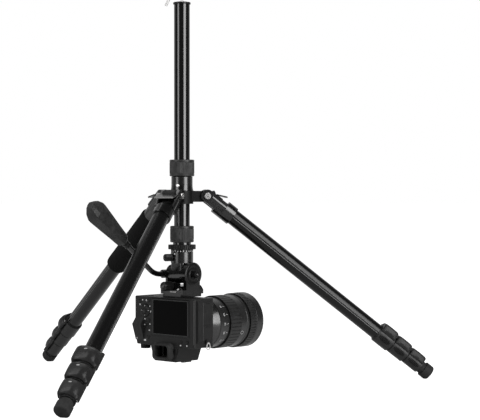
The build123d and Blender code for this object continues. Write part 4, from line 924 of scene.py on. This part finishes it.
NECK_BORE = 14.0
NECK_RADIUS = 15.85
NECK_LOW = 7.5
NECK_HIGH = 29.0
NECK_SCREW_TURN = math.radians(240.0)
NECK_SCREW_HEIGHT = 15.4
NECK_SCREW = ((0, 1.2), (1.0, 1.2), (1.2, 0.7), (2.0, 0.7), (2.4, 0.3), (2.4, -0.8), (0, -0.8))
COLUMN_RADIUS = 11.75
COLUMN_WALL = 1.3
COLUMN_TOP = 286.7
CAP_RADIUS = 13.1
CAP_TOP = 289.6
CAP_PLUG = 10.0
WASHER = ((2.3, 0.05), (8.6, 0.05), (9.0, 0.4), (8.6, 0.9), (2.8, 1.1), (2.3, 0.8))
COLLAR_FLUTES = 56
COLLARS = (
    # name, body, node, radius, bore, height, lower end
    ("lock_collar", "column_lock", "column_lock_collar", 18.6, 14.2, 24.9, 29.3),
    ("twist_collar", "column_twist", "column_twist_collar", 17.85, 11.9, 24.6, -69.6),
)


def grip_collar(radius, bore, height):
    """Rubber-faced collar with a lip at each end and fine ribs between them."""
    groove = radius - 0.45
    lip = [(bore, 0), (radius - 1.4, 0), (radius - 0.4, 0.5), (radius, 1.5), (radius, 3.0)]
    lip += [(groove, 3.3), (groove, 3.8), (radius, 4.2)]
    profile = [*lip, (radius, height / 2)]
    profile += [(reach, height - high) for reach, high in reversed(lip)]
    shape = lathe_ring(profile, COLLAR_FLUTES * 6)
    return flute(shape, COLLAR_FLUTES, 0.4, radius - 0.1, 4.1, height - 4.1)


def column_pieces():
    bottom = (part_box("column_tube")[0].z - COLUMN.translation.z) / MM
    bore = COLUMN_RADIUS - COLUMN_WALL
    node = ("column_tube",)
    pipe = [(bore, bottom), (COLUMN_RADIUS, bottom), (COLUMN_RADIUS, COLUMN_TOP), (bore, COLUMN_TOP)]
    piece("column_pipe", lathe_ring(pipe, 128), COLUMN, "column", COLUMN_TUBE, node)
    plug = COLUMN_TOP - CAP_PLUG
    cap = [(0, plug), (bore, plug), (bore, COLUMN_TOP), (CAP_RADIUS - 0.3, COLUMN_TOP)]
    cap += [(CAP_RADIUS, COLUMN_TOP + 0.3), (CAP_RADIUS, CAP_TOP - 0.6), (CAP_RADIUS - 0.6, CAP_TOP)]
    cap += [(0, CAP_TOP)]
    piece("column_cap", lathe(cap), COLUMN, "column", KNOB_PLASTIC, node)
    for name, body, collar, radius, hole, height, low in COLLARS:
        ring = grip_collar(radius, hole, height)
        piece(name, ring, shifted(COLUMN, z=low), body, COLLAR_RUBBER, (collar,))
    sleeve = NECK_RADIUS + 0.1
    neck = [(NECK_BORE, NECK_LOW), (NECK_RADIUS + 1.6, NECK_LOW), (NECK_RADIUS + 0.7, NECK_LOW + 2.2)]
    neck += [(NECK_RADIUS + 0.2, NECK_LOW + 5.5), (sleeve, NECK_LOW + 9.0), (sleeve, NECK_HIGH - 0.8)]
    neck += [(NECK_RADIUS - 0.7, NECK_HIGH), (NECK_BORE, NECK_HIGH)]
    piece("neck_sleeve", lathe_ring(neck), COLUMN, "spider", CAST)
    out = Vector((math.cos(NECK_SCREW_TURN), math.sin(NECK_SCREW_TURN), 0))
    spot = COLUMN @ Matrix.Translation(out * NECK_RADIUS + UP * NECK_SCREW_HEIGHT)
    spot = spot @ out.to_track_quat("Z", "Y").to_matrix().to_4x4()
    piece("neck_screw", lathe(NECK_SCREW, 32), spot, "spider", STEEL)
    washer = lathe_ring(WASHER, 48)
    piece("hook_washer", washer, shifted(COLUMN, z=CAP_TOP), "hook", HOOK_STEEL)


# Head

TILT_HEIGHT = 44.0
PLATFORM_HEIGHT = 61.0
PLATFORM_BACK = -22.0
DISC_FACE = -23.5
PAN_KNOB_HEIGHT = 19.0
PAN_KNOB_TURN = 17.0
PAN_RADIUS = 16.8
PAN_BORE = 15.0
PAN_LOW = 11.1
PAN_HIGH = 26.9
INDEX_HEIGHT = 13.6
INDEX_TURN = -4.0
INDEX_DOT = ((0, 0.35), (0.9, 0.3), (1.1, 0.1), (1.1, -0.4), (0, -0.4))
KNOB_GAP = 0.4
KNOB_STEM = 2.9
TILT_DIAL = (
    (6.2, 0), (6.2, 0.5), (7.4, 0.9), (8.6, 0.5), (9.4, 0.3), (11.4, 0.3), (12.2, 0.8),
    (14.6, 0.9), (15.8, 0.5), (16.6, 0.1), (16.6, -0.5), (6.2, -0.5),
)
STOP_PIN = ((0, 3.4), (1.5, 3.2), (1.8, 2.6), (1.8, -0.4), (0, -0.4))


def knob(radius, length, lobes, tip):
    """A fluted hand knob standing on the XY plane, with its screw's stem below."""
    profile = [
        (0, length),
        (radius * 0.55, length),
        (radius * 0.6, length - 0.3),
        (radius - tip, length - 0.3),
        (radius - tip * 0.3, length - tip * 0.35),
        (radius, length - tip),
        (radius, length * 0.66),
        (radius, length * 0.33),
        (radius, 1.2),
        (radius * 0.9, 0.2),
        (KNOB_STEM, 0.2),
        (KNOB_STEM, -4.5),
        (0, -4.5),
    ]
    shape = lathe(profile, lobes * 8)
    return flute(shape, lobes, radius * 0.11, radius * 0.86, 1.0, length - tip * 0.3, 0.45)


def knob_cap(radius):
    """Bright screw end in a knob's face."""
    return lathe([(0, 0.9), (radius * 0.55, 0.85), (radius, 0.35), (radius, -0.6), (0, -0.6)], 32)


def head_side(turn, height):
    """Frame on the head's axis at a height: Z out at a bearing from its back."""
    angle = math.radians(turn)
    out = Vector((math.sin(angle), -math.cos(angle), 0))
    beside = Vector((math.cos(angle), math.sin(angle), 0))
    return turned(shifted(HEAD, z=height), beside, out.cross(beside), out)


def head_pieces():
    pan = head_side(PAN_KNOB_TURN, PAN_KNOB_HEIGHT)
    tilt = turned(shifted(HEAD, x=DISC_FACE, z=TILT_HEIGHT), (0, 1, 0), (0, 0, -1), (-1, 0, 0))
    clamp = facing_back(shifted(HEAD, y=PLATFORM_BACK, z=PLATFORM_HEIGHT))
    knobs = (
        # body, node, frame, radius, length, lobes, tip
        ("pan_knob", "pan_lock_knob", shifted(pan, z=PAN_RADIUS), 5.5, 13.0, 10, 2.0),
        ("tilt_knob", "tilt_lock_knob", tilt, 5.0, 9.0, 10, 1.2),
        ("clamp_knob", "plate_clamp_knob", clamp, 7.0, 19.0, 12, 3.0),
    )
    for body, node, face, radius, length, lobes, tip in knobs:
        place = shifted(face, z=KNOB_GAP)
        grip = knob(radius, length, lobes, tip)
        piece(f"fluted_{body}", grip, place, body, KNOB_PLASTIC, (node,))
        cap = knob_cap(radius * 0.4)
        piece(f"{body}_cap", cap, shifted(place, z=length - 0.2), body, STOP_STEEL)
    wide = PAN_RADIUS + 0.1
    sleeve = [(PAN_BORE, PAN_LOW), (PAN_RADIUS - 0.5, PAN_LOW), (wide, PAN_LOW + 0.5)]
    sleeve += [(wide, PAN_HIGH - 0.7), (PAN_RADIUS - 0.6, PAN_HIGH), (PAN_BORE, PAN_HIGH)]
    piece("pan_sleeve", lathe_ring(sleeve), HEAD, "pan", HEAD_CAST)
    piece("tilt_dial", lathe_ring(TILT_DIAL), tilt, "tilt", KNOB_PLASTIC)
    spot = shifted(head_side(INDEX_TURN, INDEX_HEIGHT), z=wide)
    piece("index_dot", lathe(INDEX_DOT, 24), spot, "pan", WHITE_PAINT)
    spot = shifted(clamp, x=-15.5, y=4.5)
    piece("plate_stop_pin", lathe(STOP_PIN, 24), spot, "tilt", STEEL)
    tab = bar((12.0, 1.6, 1.4), 0.3, (-4.0, 8.6, 0.5))
    piece("plate_release_tab", tab, clamp, "tilt", STEEL)


# Handle

HANDLE_X = 23.4
ROD_OUT = 23.0
ROD_BEND = 34.0
ROD_TURN = math.radians(39.0)
ROD_STRAIGHT = 69.0
ROD_BORE = 4.05
GRIP_ROLL = math.radians(16.0)
GRIP_RIBS = 26
GRIP_RIB_START = 14.0
GRIP_RIB_PITCH = 2.0
GRIP_FLARE_START = 9.0
GRIP_FLARE_LENGTH = 57.0
GRIP_CORNERS = (
    # sign across, sign up, and whether the corner lies on the upper or lower flat
    (1, 1, False), (1, 1, True), (-1, 1, True), (-1, 1, False),
    (-1, -1, False), (-1, -1, True), (1, -1, True), (1, -1, False),
)
GRIP_STATIONS = (
    # along the grip, half width up and down, half depth, shoulder
    (0.0, 7.6, 7.6, 0.72),
    (2.0, 8.4, 8.4, 0.74),
    (9.0, 8.9, 8.7, 0.76),
    (24.0, 10.2, 9.2, 0.8),
    (46.0, 12.4, 10.4, 0.82),
    (64.0, 14.2, 11.3, 0.82),
    (70.0, 14.2, 11.2, 0.82),
    (78.6, 11.4, 9.2, 0.78),
    (83.4, 7.6, 6.4, 0.74),
    (84.2, 6.4, 5.4, 0.72),
)
FERRULE = (
    (ROD_BORE, -12.0), (5.0, -12.0), (5.4, -11.5), (5.4, -9.2), (4.9, -8.8), (4.9, -7.6), (5.4, -7.2),
    (5.6, -4.4), (5.1, -4.0), (5.1, -3.2), (5.8, -2.8), (6.3, 0.3), (ROD_BORE, 0.3),
)


def grip_shape():
    """Handle grip with eight flats, widest near its tip."""
    shape = bmesh.new()
    rings = []
    for along, tall, deep, shoulder in GRIP_STATIONS:
        ring = []
        for x_sign, y_sign, on_flat in GRIP_CORNERS:
            wide = deep * (shoulder if on_flat else 1.0)
            high = tall * (1.0 if on_flat else shoulder * 0.5)
            ring.append(shape.verts.new((x_sign * wide, y_sign * high, along)))
        rings.append([shape.edges.new(pair) for pair in zip(ring, ring[1:] + ring[:1])])
    for first, second in zip(rings, rings[1:]):
        bmesh.ops.bridge_loops(shape, edges=first + second)
    bmesh.ops.holes_fill(shape, edges=shape.edges[:], sides=8)
    bmesh.ops.recalc_face_normals(shape, faces=shape.faces)
    return soften(shape, 0.9, 3, 12.0)


def grip_ribs():
    """Fine ribs across the grip's lower flat."""
    shape = None
    for count in range(GRIP_RIBS):
        along = GRIP_RIB_START + GRIP_RIB_PITCH * count
        share = (along - GRIP_FLARE_START) / GRIP_FLARE_LENGTH
        reach = 8.9 + share * 5.3
        shape = bar((11.6 + 4.4 * share, 0.5, 1.3), 0.15, (0, reach - 0.08, along), shape)
    return shape


def handle_pieces():
    sine = math.sin(ROD_TURN)
    cosine = math.cos(ROD_TURN)
    back = -ROD_OUT - ROD_BEND * sine - ROD_STRAIGHT * cosine
    drop = TILT_HEIGHT - ROD_BEND * (1 - cosine) - ROD_STRAIGHT * sine
    along = Vector((0, -cosine, -sine))
    across = Vector((1, 0, 0))
    grip = turned(shifted(HEAD, HANDLE_X, back, drop), across, along.cross(across), along)
    grip = grip @ Matrix.Rotation(GRIP_ROLL, 4, "Z")
    piece("grip_handle", grip_shape(), grip, "tilt", GRIP_RUBBER, ("handle_grip",))
    piece("grip_ribs", grip_ribs(), grip, "tilt", RIB_RUBBER)
    piece("handle_ferrule", lathe_ring(FERRULE, 48), grip, "tilt", KNOB_PLASTIC)


# Lens

FLARE_PROFILE = (
    (0, 0), (32.4, 0), (32.8, 0.4), (32.8, 6.0), (32.5, 6.3), (32.5, 6.9), (32.8, 7.2),
    (32.8, 18.2), (33.1, 18.9), (37.6, 32.2), (37.6, 32.7), (37.3, 33.0), (0, 33.0),
)
BARREL_PROFILE = (
    (0, 31.0), (35.4, 31.0), (35.4, 33.2), (37.5, 33.4), (38.3, 34.2), (38.3, 52.4), (37.8, 53.0),
    (34.0, 53.0), (34.0, 77.0), (39.7, 77.0), (40.3, 77.6), (40.3, 88.8), (39.7, 89.4), (39.7, 90.4),
    (40.3, 91.2), (40.3, 95.2), (39.6, 96.0), (34.0, 96.0), (34.0, 110.0), (41.4, 110.0), (42.2, 110.6),
    (42.5, 111.4), (42.5, 120.6), (42.1, 121.0), (42.1, 121.5), (42.5, 121.9), (42.5, 123.8),
    (42.1, 124.7), (41.4, 125.0), (41.1, 124.8),
)
THREADS = 5
THREAD_PITCH = 0.85
BAFFLES = 3
THROAT = 34.0
GLASS_BACK = 109.0
SCALE_RADIUS = 38.32
SCALE_START = 138.0
SCALE_STEP = 21.0
ZOOM_NUMBERS = ("24", "28", "35", "50", "70")
NUMERAL_SIZE = 4.4
NUMERAL_ALONG = 42.0
TICK_SIZE = (0.45, 3.0, 0.16)
TICK_ALONG = 48.2
HOLD_BUTTON_AT = (40.25, 203.0, 81.0)
HOLD_BUTTON = ((0, 0.8), (1.5, 0.75), (2.0, 0.4), (2.1, -0.4), (0, -0.4))
HOLD_RING = ((2.3, 0.12), (2.8, 0.12), (2.8, -0.3), (2.3, -0.3))
FOCUS_SWITCH_AT = (32.5, 140.0, 9.5)
MOUNT_RING = ((31.1, -2.7), (33.2, -2.7), (33.4, -2.4), (33.4, -0.5), (33.1, -0.2), (31.1, -0.2))


def barrel_shape():
    """Lens barrel with its seams, filter thread and stepped throat."""
    profile = list(BARREL_PROFILE)
    for count in range(THREADS):
        high = 124.2 - THREAD_PITCH * count
        profile += [(41.0, high), (40.6, high - 0.4)]
    profile += [(41.0, 120.0)]
    for count in range(BAFFLES):
        radius = 39.6 - 1.9 * count
        high = 119.4 - 1.7 * count
        profile += [(radius, high + 0.5), (radius, high - 0.9)]
    profile += [(THROAT, 114.0), (THROAT - 0.05, GLASS_BACK), (0, GLASS_BACK)]
    return lathe(profile, 128)


def on_barrel(radius, turn, along):
    """Frame on the lens's side: Z out of the barrel, Y towards its front."""
    angle = math.radians(turn)
    out = Vector((math.cos(angle), math.sin(angle), 0))
    return turned(LENS @ Matrix.Translation(out * radius + UP * along), UP.cross(out), UP, out)


def zoom_scale():
    """Plain numbers round the barrel, each with its tick."""
    shape = None
    for count, text in enumerate(ZOOM_NUMBERS):
        turn = SCALE_START + SCALE_STEP * count
        marks = ((lettering(text, NUMERAL_SIZE), NUMERAL_ALONG), (bar(TICK_SIZE), TICK_ALONG))
        for mark, along in marks:
            shape = join(shape, moved(mark, LENS.inverted() @ on_barrel(SCALE_RADIUS, turn, along)))
    return shape


def lens_pieces():
    node = ("lens_barrel",)
    hold = on_barrel(*HOLD_BUTTON_AT)
    switch = on_barrel(*FOCUS_SWITCH_AT)
    slider = bar((4.4, 5.4, 1.1), 0.3, (0, 2.2, 1.3))
    rows = (
        ("turned_barrel", barrel_shape(), LENS, BARREL, node),
        ("rear_flare", lathe(FLARE_PROFILE, 128), LENS, FLARE, node),
        ("zoom_scale", zoom_scale(), LENS, WHITE_PAINT, ()),
        ("hold_button", lathe(HOLD_BUTTON, 36), hold, CONTROL, ()),
        ("hold_button_ring", lathe_ring(HOLD_RING, 36), hold, WHITE_PAINT, ()),
        ("focus_switch_plate", plate(9.0, 16.0, 2.0, 1.0, 0.3), switch, PANEL, ()),
        ("focus_switch", slider, switch, CONTROL, ()),
    )
    for name, shape, place, finish, replaced in rows:
        piece(name, shape, place, "camera", finish, replaced)
    piece("mount_ring", lathe_ring(MOUNT_RING), LENS, "camera", STEEL)


# Camera

SCREEN_LAYERS = (
    # name, finish, width, height, corner, thickness, edge, centre
    ("screen_frame", PANEL, 76.6, 52.7, 1.6, 0.5, 0.1, (-10.2, 29.95, 0.22)),
    # The lip's pale trim is a painted highlight round the cover glass.
    ("screen_lip", HIGHLIGHT_TRIM, 72.8, 51.4, 1.2, 0.3, 0.05, (-10.4, 29.4, 0.48)),
    ("screen_cover_glass", SCREEN_GLASS, 71.4, 50.2, 0.8, 0.2, 0.05, (-10.4, 29.4, 0.64)),
)
BUTTON_SPOTS = (
    (54.5, 7.5), (35.5, 5.5), (35.5, 35.5), (39.5, 46.0), (37.0, 61.0), (-32.0, 64.0), (-45.0, 64.0),
)
BUTTON = ((0, 1.05), (1.9, 1.0), (2.6, 0.8), (2.95, 0.4), (2.95, -1.3), (0, -1.3))
WHEEL_AT = (42.7, 21.0)
WHEEL = (
    (0, 1.35), (2.5, 1.35), (3.1, 1.1), (3.2, 0.55), (3.9, 0.5), (4.6, 0.95), (6.2, 1.1), (8.8, 1.15),
    (9.5, 0.9), (9.7, 0.4), (9.7, -1.8), (0, -1.8),
)
WHEEL_FLUTES = 48
JOYSTICK_AT = (39.6, 40.4)
JOYSTICK = (
    (0, 2.2), (1.2, 2.15), (1.7, 1.8), (1.5, 1.2), (1.3, 0.7), (2.2, 0.35), (2.4, -0.2), (0, -0.2),
)
REAR_MARKS = (
    # sign, across, up, depth, width, height
    ("triangle", 48.6, 5.4, 0.0, 2.6, 2.8),
    ("ring", 40.6, 5.8, 0.0, 2.6, 2.6),
    ("bars", 54.2, 12.6, 0.0, 2.4, 2.0),
    ("triangle", 33.0, 14.4, 0.0, 2.2, 2.4),
    ("bars", 31.3, 22.4, 0.0, 1.5, 2.4),
    ("bars", 43.6, 34.0, 0.0, 2.4, 1.8),
    ("ring", 33.2, 41.2, 0.0, 2.0, 2.0),
    ("triangle", 44.2, 42.6, 0.0, 2.2, 2.4),
    ("bars", 34.2, 50.6, 0.0, 2.2, 1.7),
    ("ring", 60.6, 63.4, 0.85, 2.6, 2.6),
    ("bars", 43.4, 65.6, 0.1, 4.6, 2.4),
    ("bars", -31.8, 69.0, 0.0, 3.2, 1.6),
    ("ring", -44.8, 69.0, 0.0, 2.3, 2.3),
)
SIGN_RING = ((0.24, 0.1), (0.5, 0.1), (0.5, -0.1), (0.24, -0.1))
SIGN_TRIANGLE = ((0, 0.1), (0.6, 0.1), (0.6, -0.1), (0, -0.1))
EYECUP = (
    # width, height, corner, depth
    (37.6, 25.6, 6.2, 0.05), (37.8, 25.8, 6.3, 3.0), (37.0, 25.2, 6.2, 7.6), (34.6, 23.4, 5.6, 9.7),
    (30.0, 20.4, 4.6, 9.9), (26.4, 17.8, 4.0, 8.6), (24.6, 16.6, 3.6, 5.0), (24.4, 16.4, 3.4, 0.05),
)
EYEPIECE_FRAME = (
    (23.8, 15.8, 2.6, -7.9), (23.8, 15.8, 2.6, -6.6), (21.4, 13.4, 2.0, -7.2), (21.4, 13.4, 2.0, -7.9),
)
DIOPTER_AT = (-23.4, -2.0)
DIOPTER = ((0, 1.9), (3.2, 1.9), (3.9, 1.5), (3.9, -0.4), (0, -0.4))
SIDE_PLATES = (
    # name, finish, width, height, corner, thickness, edge, centre
    ("rear_port_door", PANEL, 10.6, 58.0, 1.4, 0.75, 0.3, (20.8, 34.0, -0.1)),
    ("lower_port_door", PANEL, 19.0, 33.0, 1.4, 0.75, 0.3, (5.4, 21.5, -0.1)),
    ("upper_port_door", PANEL, 19.0, 23.4, 1.4, 0.75, 0.3, (5.4, 51.3, -0.1)),
    # A near-black strip painted where a groove's shade falls behind the rear port door.
    ("door_seal", DARK_RUBBER_AND_SHADE, 3.6, 62.0, 0.8, 0.3, 0.1, (28.6, 34.0, -0.1)),
)
BASE_PLATES = (
    ("battery_door", PANEL, 30.0, 38.0, 4.0, 0.4, 0.15, (45.0, 6.0, -0.05)),
    ("battery_latch", CONTROL, 9.0, 4.0, 1.5, 0.7, 0.2, (45.0, 20.5, 0.2)),
)
FINGER_LEDGES = (7.5, 42.0)
RELEASE_AT = (44.0, 24.0)
RELEASE = ((0, 2.4), (2.8, 2.2), (3.4, 1.6), (3.5, -0.2), (0, -0.2))
STRAP_LUGS = (-62.4, 71.3)
STRAP_DEPTH = -8.0
STRAP_HEIGHT = 70.2
STRAP_RADIUS = 5.0
STRAP_WIRE = 0.95
STRAP_HALF = 5.8
DIALS = (
    # body, across, along, height over the body, radius
    ("mode_dial", 43.5, -6.0, 7.35, 9.0),
    ("exposure_dial", 52.5, -25.0, 6.35, 7.5),
)


def camera_piece(name, shape, place, finish, replaces=(), body="camera"):
    piece(name, shape, place, body, finish, replaces)


def screen_pieces():
    for name, finish, *sizes in SCREEN_LAYERS:
        piece(name, plate(*sizes), REAR, "screen", finish)


def printed_sign(kind, width, tall):
    """A plain printed sign of one size: two bars, a triangle or a ring."""
    if kind == "bars":
        rows = (tall * 0.3, -tall * 0.3)
        return joined(bar((width, tall * 0.4, 0.2), 0.0, (0, high, 0)) for high in rows)
    shape = lathe_ring(SIGN_RING, 24) if kind == "ring" else lathe(SIGN_TRIANGLE, 3)
    return moved(shape, Matrix.Diagonal((width, tall, 1, 1)))


def rear_pieces():
    buttons = joined(slid(lathe(BUTTON, 28), (across, high, 0)) for across, high in BUTTON_SPOTS)
    camera_piece("domed_buttons", buttons, REAR, CONTROL, ("rear_buttons",), "buttons")
    wheel = flute(lathe(WHEEL, WHEEL_FLUTES * 4), WHEEL_FLUTES, 0.28, 9.3, -0.5, 1.0)
    spot = shifted(REAR, *WHEEL_AT)
    camera_piece("turned_wheel", wheel, spot, CONTROL, ("control_wheel",), "wheel")
    camera_piece("wheel_marks", tick_ring(4, (1.5, 0.7, 0.14), 7.2, 1.17), spot, WHITE_PAINT, body="wheel")
    camera_piece("joystick", lathe(JOYSTICK, 32), shifted(REAR, *JOYSTICK_AT), CONTROL)
    marks = None
    for kind, across, high, depth, width, tall in REAR_MARKS:
        marks = join(marks, slid(printed_sign(kind, width, tall), (across, high, depth + 0.05)))
    camera_piece("rear_marks", marks, REAR, WHITE_PAINT)


def eyepiece_pieces():
    piece("soft_eyecup", rounded_ring(EYECUP), EYE, "camera", RUBBER, ("eyecup",))
    window = plate(23.2, 15.2, 2.4, 0.4, 0.1, (0, 0, -7.9))
    piece("eyepiece_glass", window, EYE, "camera", SCREEN_GLASS)
    dial = flute(lathe(DIOPTER), 24, 0.35, 3.4, 0.0, 1.7)
    camera_piece("diopter_dial", dial, shifted(EYE, *DIOPTER_AT), CONTROL)
    camera_piece("eyepiece_frame", rounded_ring(EYEPIECE_FRAME), EYE, CONTROL)


def painted_side_highlights():
    """Light bars painted as highlights: one along the port doors' edge, one seated on the body's rounded
    corner.
    """
    shape = bar((0.9, 57.0, 0.8), 0.25, (15.4, 34.0, 0.35))
    slant = Matrix.Rotation(math.pi / 4, 4, "Y")
    middle = Vector((-BODY_BACK - BODY_CORNER, 34.6, -BODY_CORNER))
    spot = Matrix.Translation(middle + slant @ Vector((0, 0, BODY_CORNER + 0.05))) @ slant
    return join(shape, moved(bar((1.1, 64.0, 0.6), 0.2), spot))


def shoe_rails():
    """Steel floor of the accessory shoe, with a rail over each side."""
    shape = bar((18.2, 17.6, 0.3), 0.0, (0, 0, 0.15))
    for side in (-1, 1):
        bar((4.5, 17.8, 0.3), 0.08, (side * 8.5, 0, 3.12), shape)
    return shape


def side_pieces():
    for name, finish, *sizes in SIDE_PLATES:
        camera_piece(name, plate(*sizes), LEFT_END, finish)
    # Light bars painted as highlights along a door's edge and along the body's rounded corner.
    camera_piece("painted_side_highlights", painted_side_highlights(), LEFT_END, HIGHLIGHT_TRIM)
    ledges = joined(bar((7.0, 1.3, 0.5), 0.2, (5.4, high, 0.75)) for high in FINGER_LEDGES)
    camera_piece("door_finger_ledges", ledges, LEFT_END, CONTROL)
    for name, finish, *sizes in BASE_PLATES:
        camera_piece(name, plate(*sizes), UNDERSIDE, finish)
    camera_piece("lens_release", lathe(RELEASE, 36), shifted(FRONT, *RELEASE_AT), CONTROL)
    piece("shoe_rails", shoe_rails(), TOP, "camera", STEEL)


def strap_ring_shape():
    """A wire ring drawn to a rounded triangle, hung from its lug."""
    wire = []
    for count in range(10):
        turn = math.tau * count / 10
        wire.append((STRAP_RADIUS + STRAP_WIRE * math.cos(turn), STRAP_WIRE * math.sin(turn)))
    shape = lathe_ring(wire, 48)
    for vert in shape.verts:
        share = (vert.co.y + STRAP_HALF) / (2 * STRAP_HALF)
        vert.co.x *= 0.5 + 0.42 * share
    return shape


def strap_pieces():
    rings = None
    for across in STRAP_LUGS:
        spot = Matrix.Translation((across, STRAP_DEPTH, STRAP_HEIGHT)) @ UPRIGHT
        rings = join(rings, moved(strap_ring_shape(), spot))
    piece("strap_triangles", rings, CAMERA, "camera", RING_STEEL, ("strap_rings",))


def dial_pieces():
    for body, across, along, height, radius in DIALS:
        place = shifted(CAMERA, across, along, BODY_HEIGHT + height)
        face = [(0, 0.25), (radius * 0.3, 0.25), (radius * 0.36, 0.1), (radius * 0.8, 0.1)]
        face += [(radius * 0.86, 0.3), (radius * 0.9, 0.05), (radius * 0.9, -0.1), (0, -0.1)]
        camera_piece(f"{body}_face", lathe(face, 64), place, PANEL, body=body)
        ticks = tick_ring(8, (radius * 0.22, 0.55, 0.14), radius * 0.58, 0.14)
        camera_piece(f"{body}_marks", ticks, place, WHITE_PAINT, body=body)


foam_sleeve()
for leg in LEGS:
    leg_pieces(leg)
column_pieces()
head_pieces()
handle_pieces()
lens_pieces()
screen_pieces()
rear_pieces()
eyepiece_pieces()
side_pieces()
strap_pieces()
dial_pieces()


# Studio

PHOTO_CAMERA = Vector((-0.3494, -2.2806, 0.2893))
PHOTO_TURN = math.radians(-8.567)
PHOTO_DIP = math.radians(0.733)
PHOTO_LENS = 114.66
SENSOR_WIDTH = 36.0
FLOOR_SIZE = 60.0
FLOOR_GLOW = 0.92
FLOOR_GREY = 0.45
WORLD_LIGHT = 0.28
ROOM_MIRROR = 0.05
WHITE_MIRROR = 0.6
LAMP_AIM = 0.3
SOFTBOXES = (
    # name, bearing, distance, height, width, length, watts
    ("key_box", -54, 2.0, 0.75, 1.2, 1.9, 46),
    ("fill_box", -151, 2.0, 0.8, 0.8, 1.4, 14),
    ("top_box", 80, 0.9, 2.0, 1.4, 0.7, 7),
    ("left_box", 195, 1.2, 1.9, 1.0, 0.8, 14),
)


def studio_camera():
    data = bpy.data.cameras.new("view")
    data.lens = PHOTO_LENS
    data.sensor_width = SENSOR_WIDTH
    made = bpy.data.objects.new("view", data)
    made.location = PHOTO_CAMERA
    made.rotation_euler = Euler((math.pi / 2 - PHOTO_DIP, 0, PHOTO_TURN), "XYZ")
    bpy.context.scene.collection.objects.link(made)
    bpy.context.scene.camera = made


def softbox(name, bearing, distance, height, width, tall, watts):
    """A soft rectangular lamp at a bearing round the column, aimed at a height on it."""
    turn = math.radians(bearing)
    data = bpy.data.lights.new(name, "AREA")
    data.shape = "RECTANGLE"
    data.size = width
    data.size_y = tall
    data.energy = watts
    made = bpy.data.objects.new(name, data)
    target = Vector((PAN_AT.x, PAN_AT.y, LAMP_AIM))
    away = Vector((math.cos(turn), math.sin(turn), 0)) * distance
    made.location = target + away + UP * (height - LAMP_AIM)
    made.rotation_euler = (target - made.location).to_track_quat("-Z", "Y").to_euler()
    made.visible_camera = False
    bpy.context.scene.collection.objects.link(made)


def backdrop_share(finish, behind):
    """1 where a ray shows the white background: straight on, through glass, or mirrored from behind."""
    outputs = finish.node("ShaderNodeLightPath").socket.node.outputs
    straight = Value(finish, outputs["Is Camera Ray"])
    through = Value(finish, outputs["Is Transmission Ray"])
    mirrored = Value(finish, outputs["Is Glossy Ray"]) * behind
    return straight.math("MAXIMUM", through).math("MAXIMUM", mirrored)


def studio_floor():
    shape = bmesh.new()
    bmesh.ops.create_grid(shape, x_segments=1, y_segments=1, size=FLOOR_SIZE / 2)
    mesh = bpy.data.meshes.new("floor")
    shape.to_mesh(mesh)
    shape.free()
    made = bpy.data.objects.new("floor", mesh)
    bpy.context.scene.collection.objects.link(made)
    paper = Finish("floor_paper", Specular_IOR_Level=0.0, Emission_Strength=FLOOR_GLOW)
    paper.set(Base_Color=grey(FLOOR_GREY), Roughness=0.9)
    behind = paper.span(paper.split(paper.place())[1], -0.5, 0.6, ROOM_MIRROR, WHITE_MIRROR)
    paper.set(Emission_Color=paper.colour(backdrop_share(paper, behind), grey(0.0), grey(1.0)))
    mesh.materials.append(paper.material)


class WorldFinish(Finish):
    """The studio's surround: plain light, and white where it is seen."""

    def __init__(self, world):
        world.use_nodes = True
        self.tree = world.node_tree
        self.shader = self.tree.nodes["Background"]


def studio_world():
    world = bpy.data.worlds.new("studio")
    bpy.context.scene.world = world
    made = WorldFinish(world)
    direction = made.node("ShaderNodeTexCoord", output=0)
    behind = made.span(made.split(direction)[1], 0.1, 0.9, ROOM_MIRROR, WHITE_MIRROR)
    lit = made.node("ShaderNodeLightPath").socket.node.outputs["Is Diffuse Ray"]
    made.set(Color=grey(1.0), Strength=backdrop_share(made, behind) + Value(made, lit) * WORLD_LIGHT)


studio_camera()
studio_floor()
studio_world()
for box in SOFTBOXES:
    softbox(*box)
bpy.context.scene.view_settings.view_transform = "Standard"
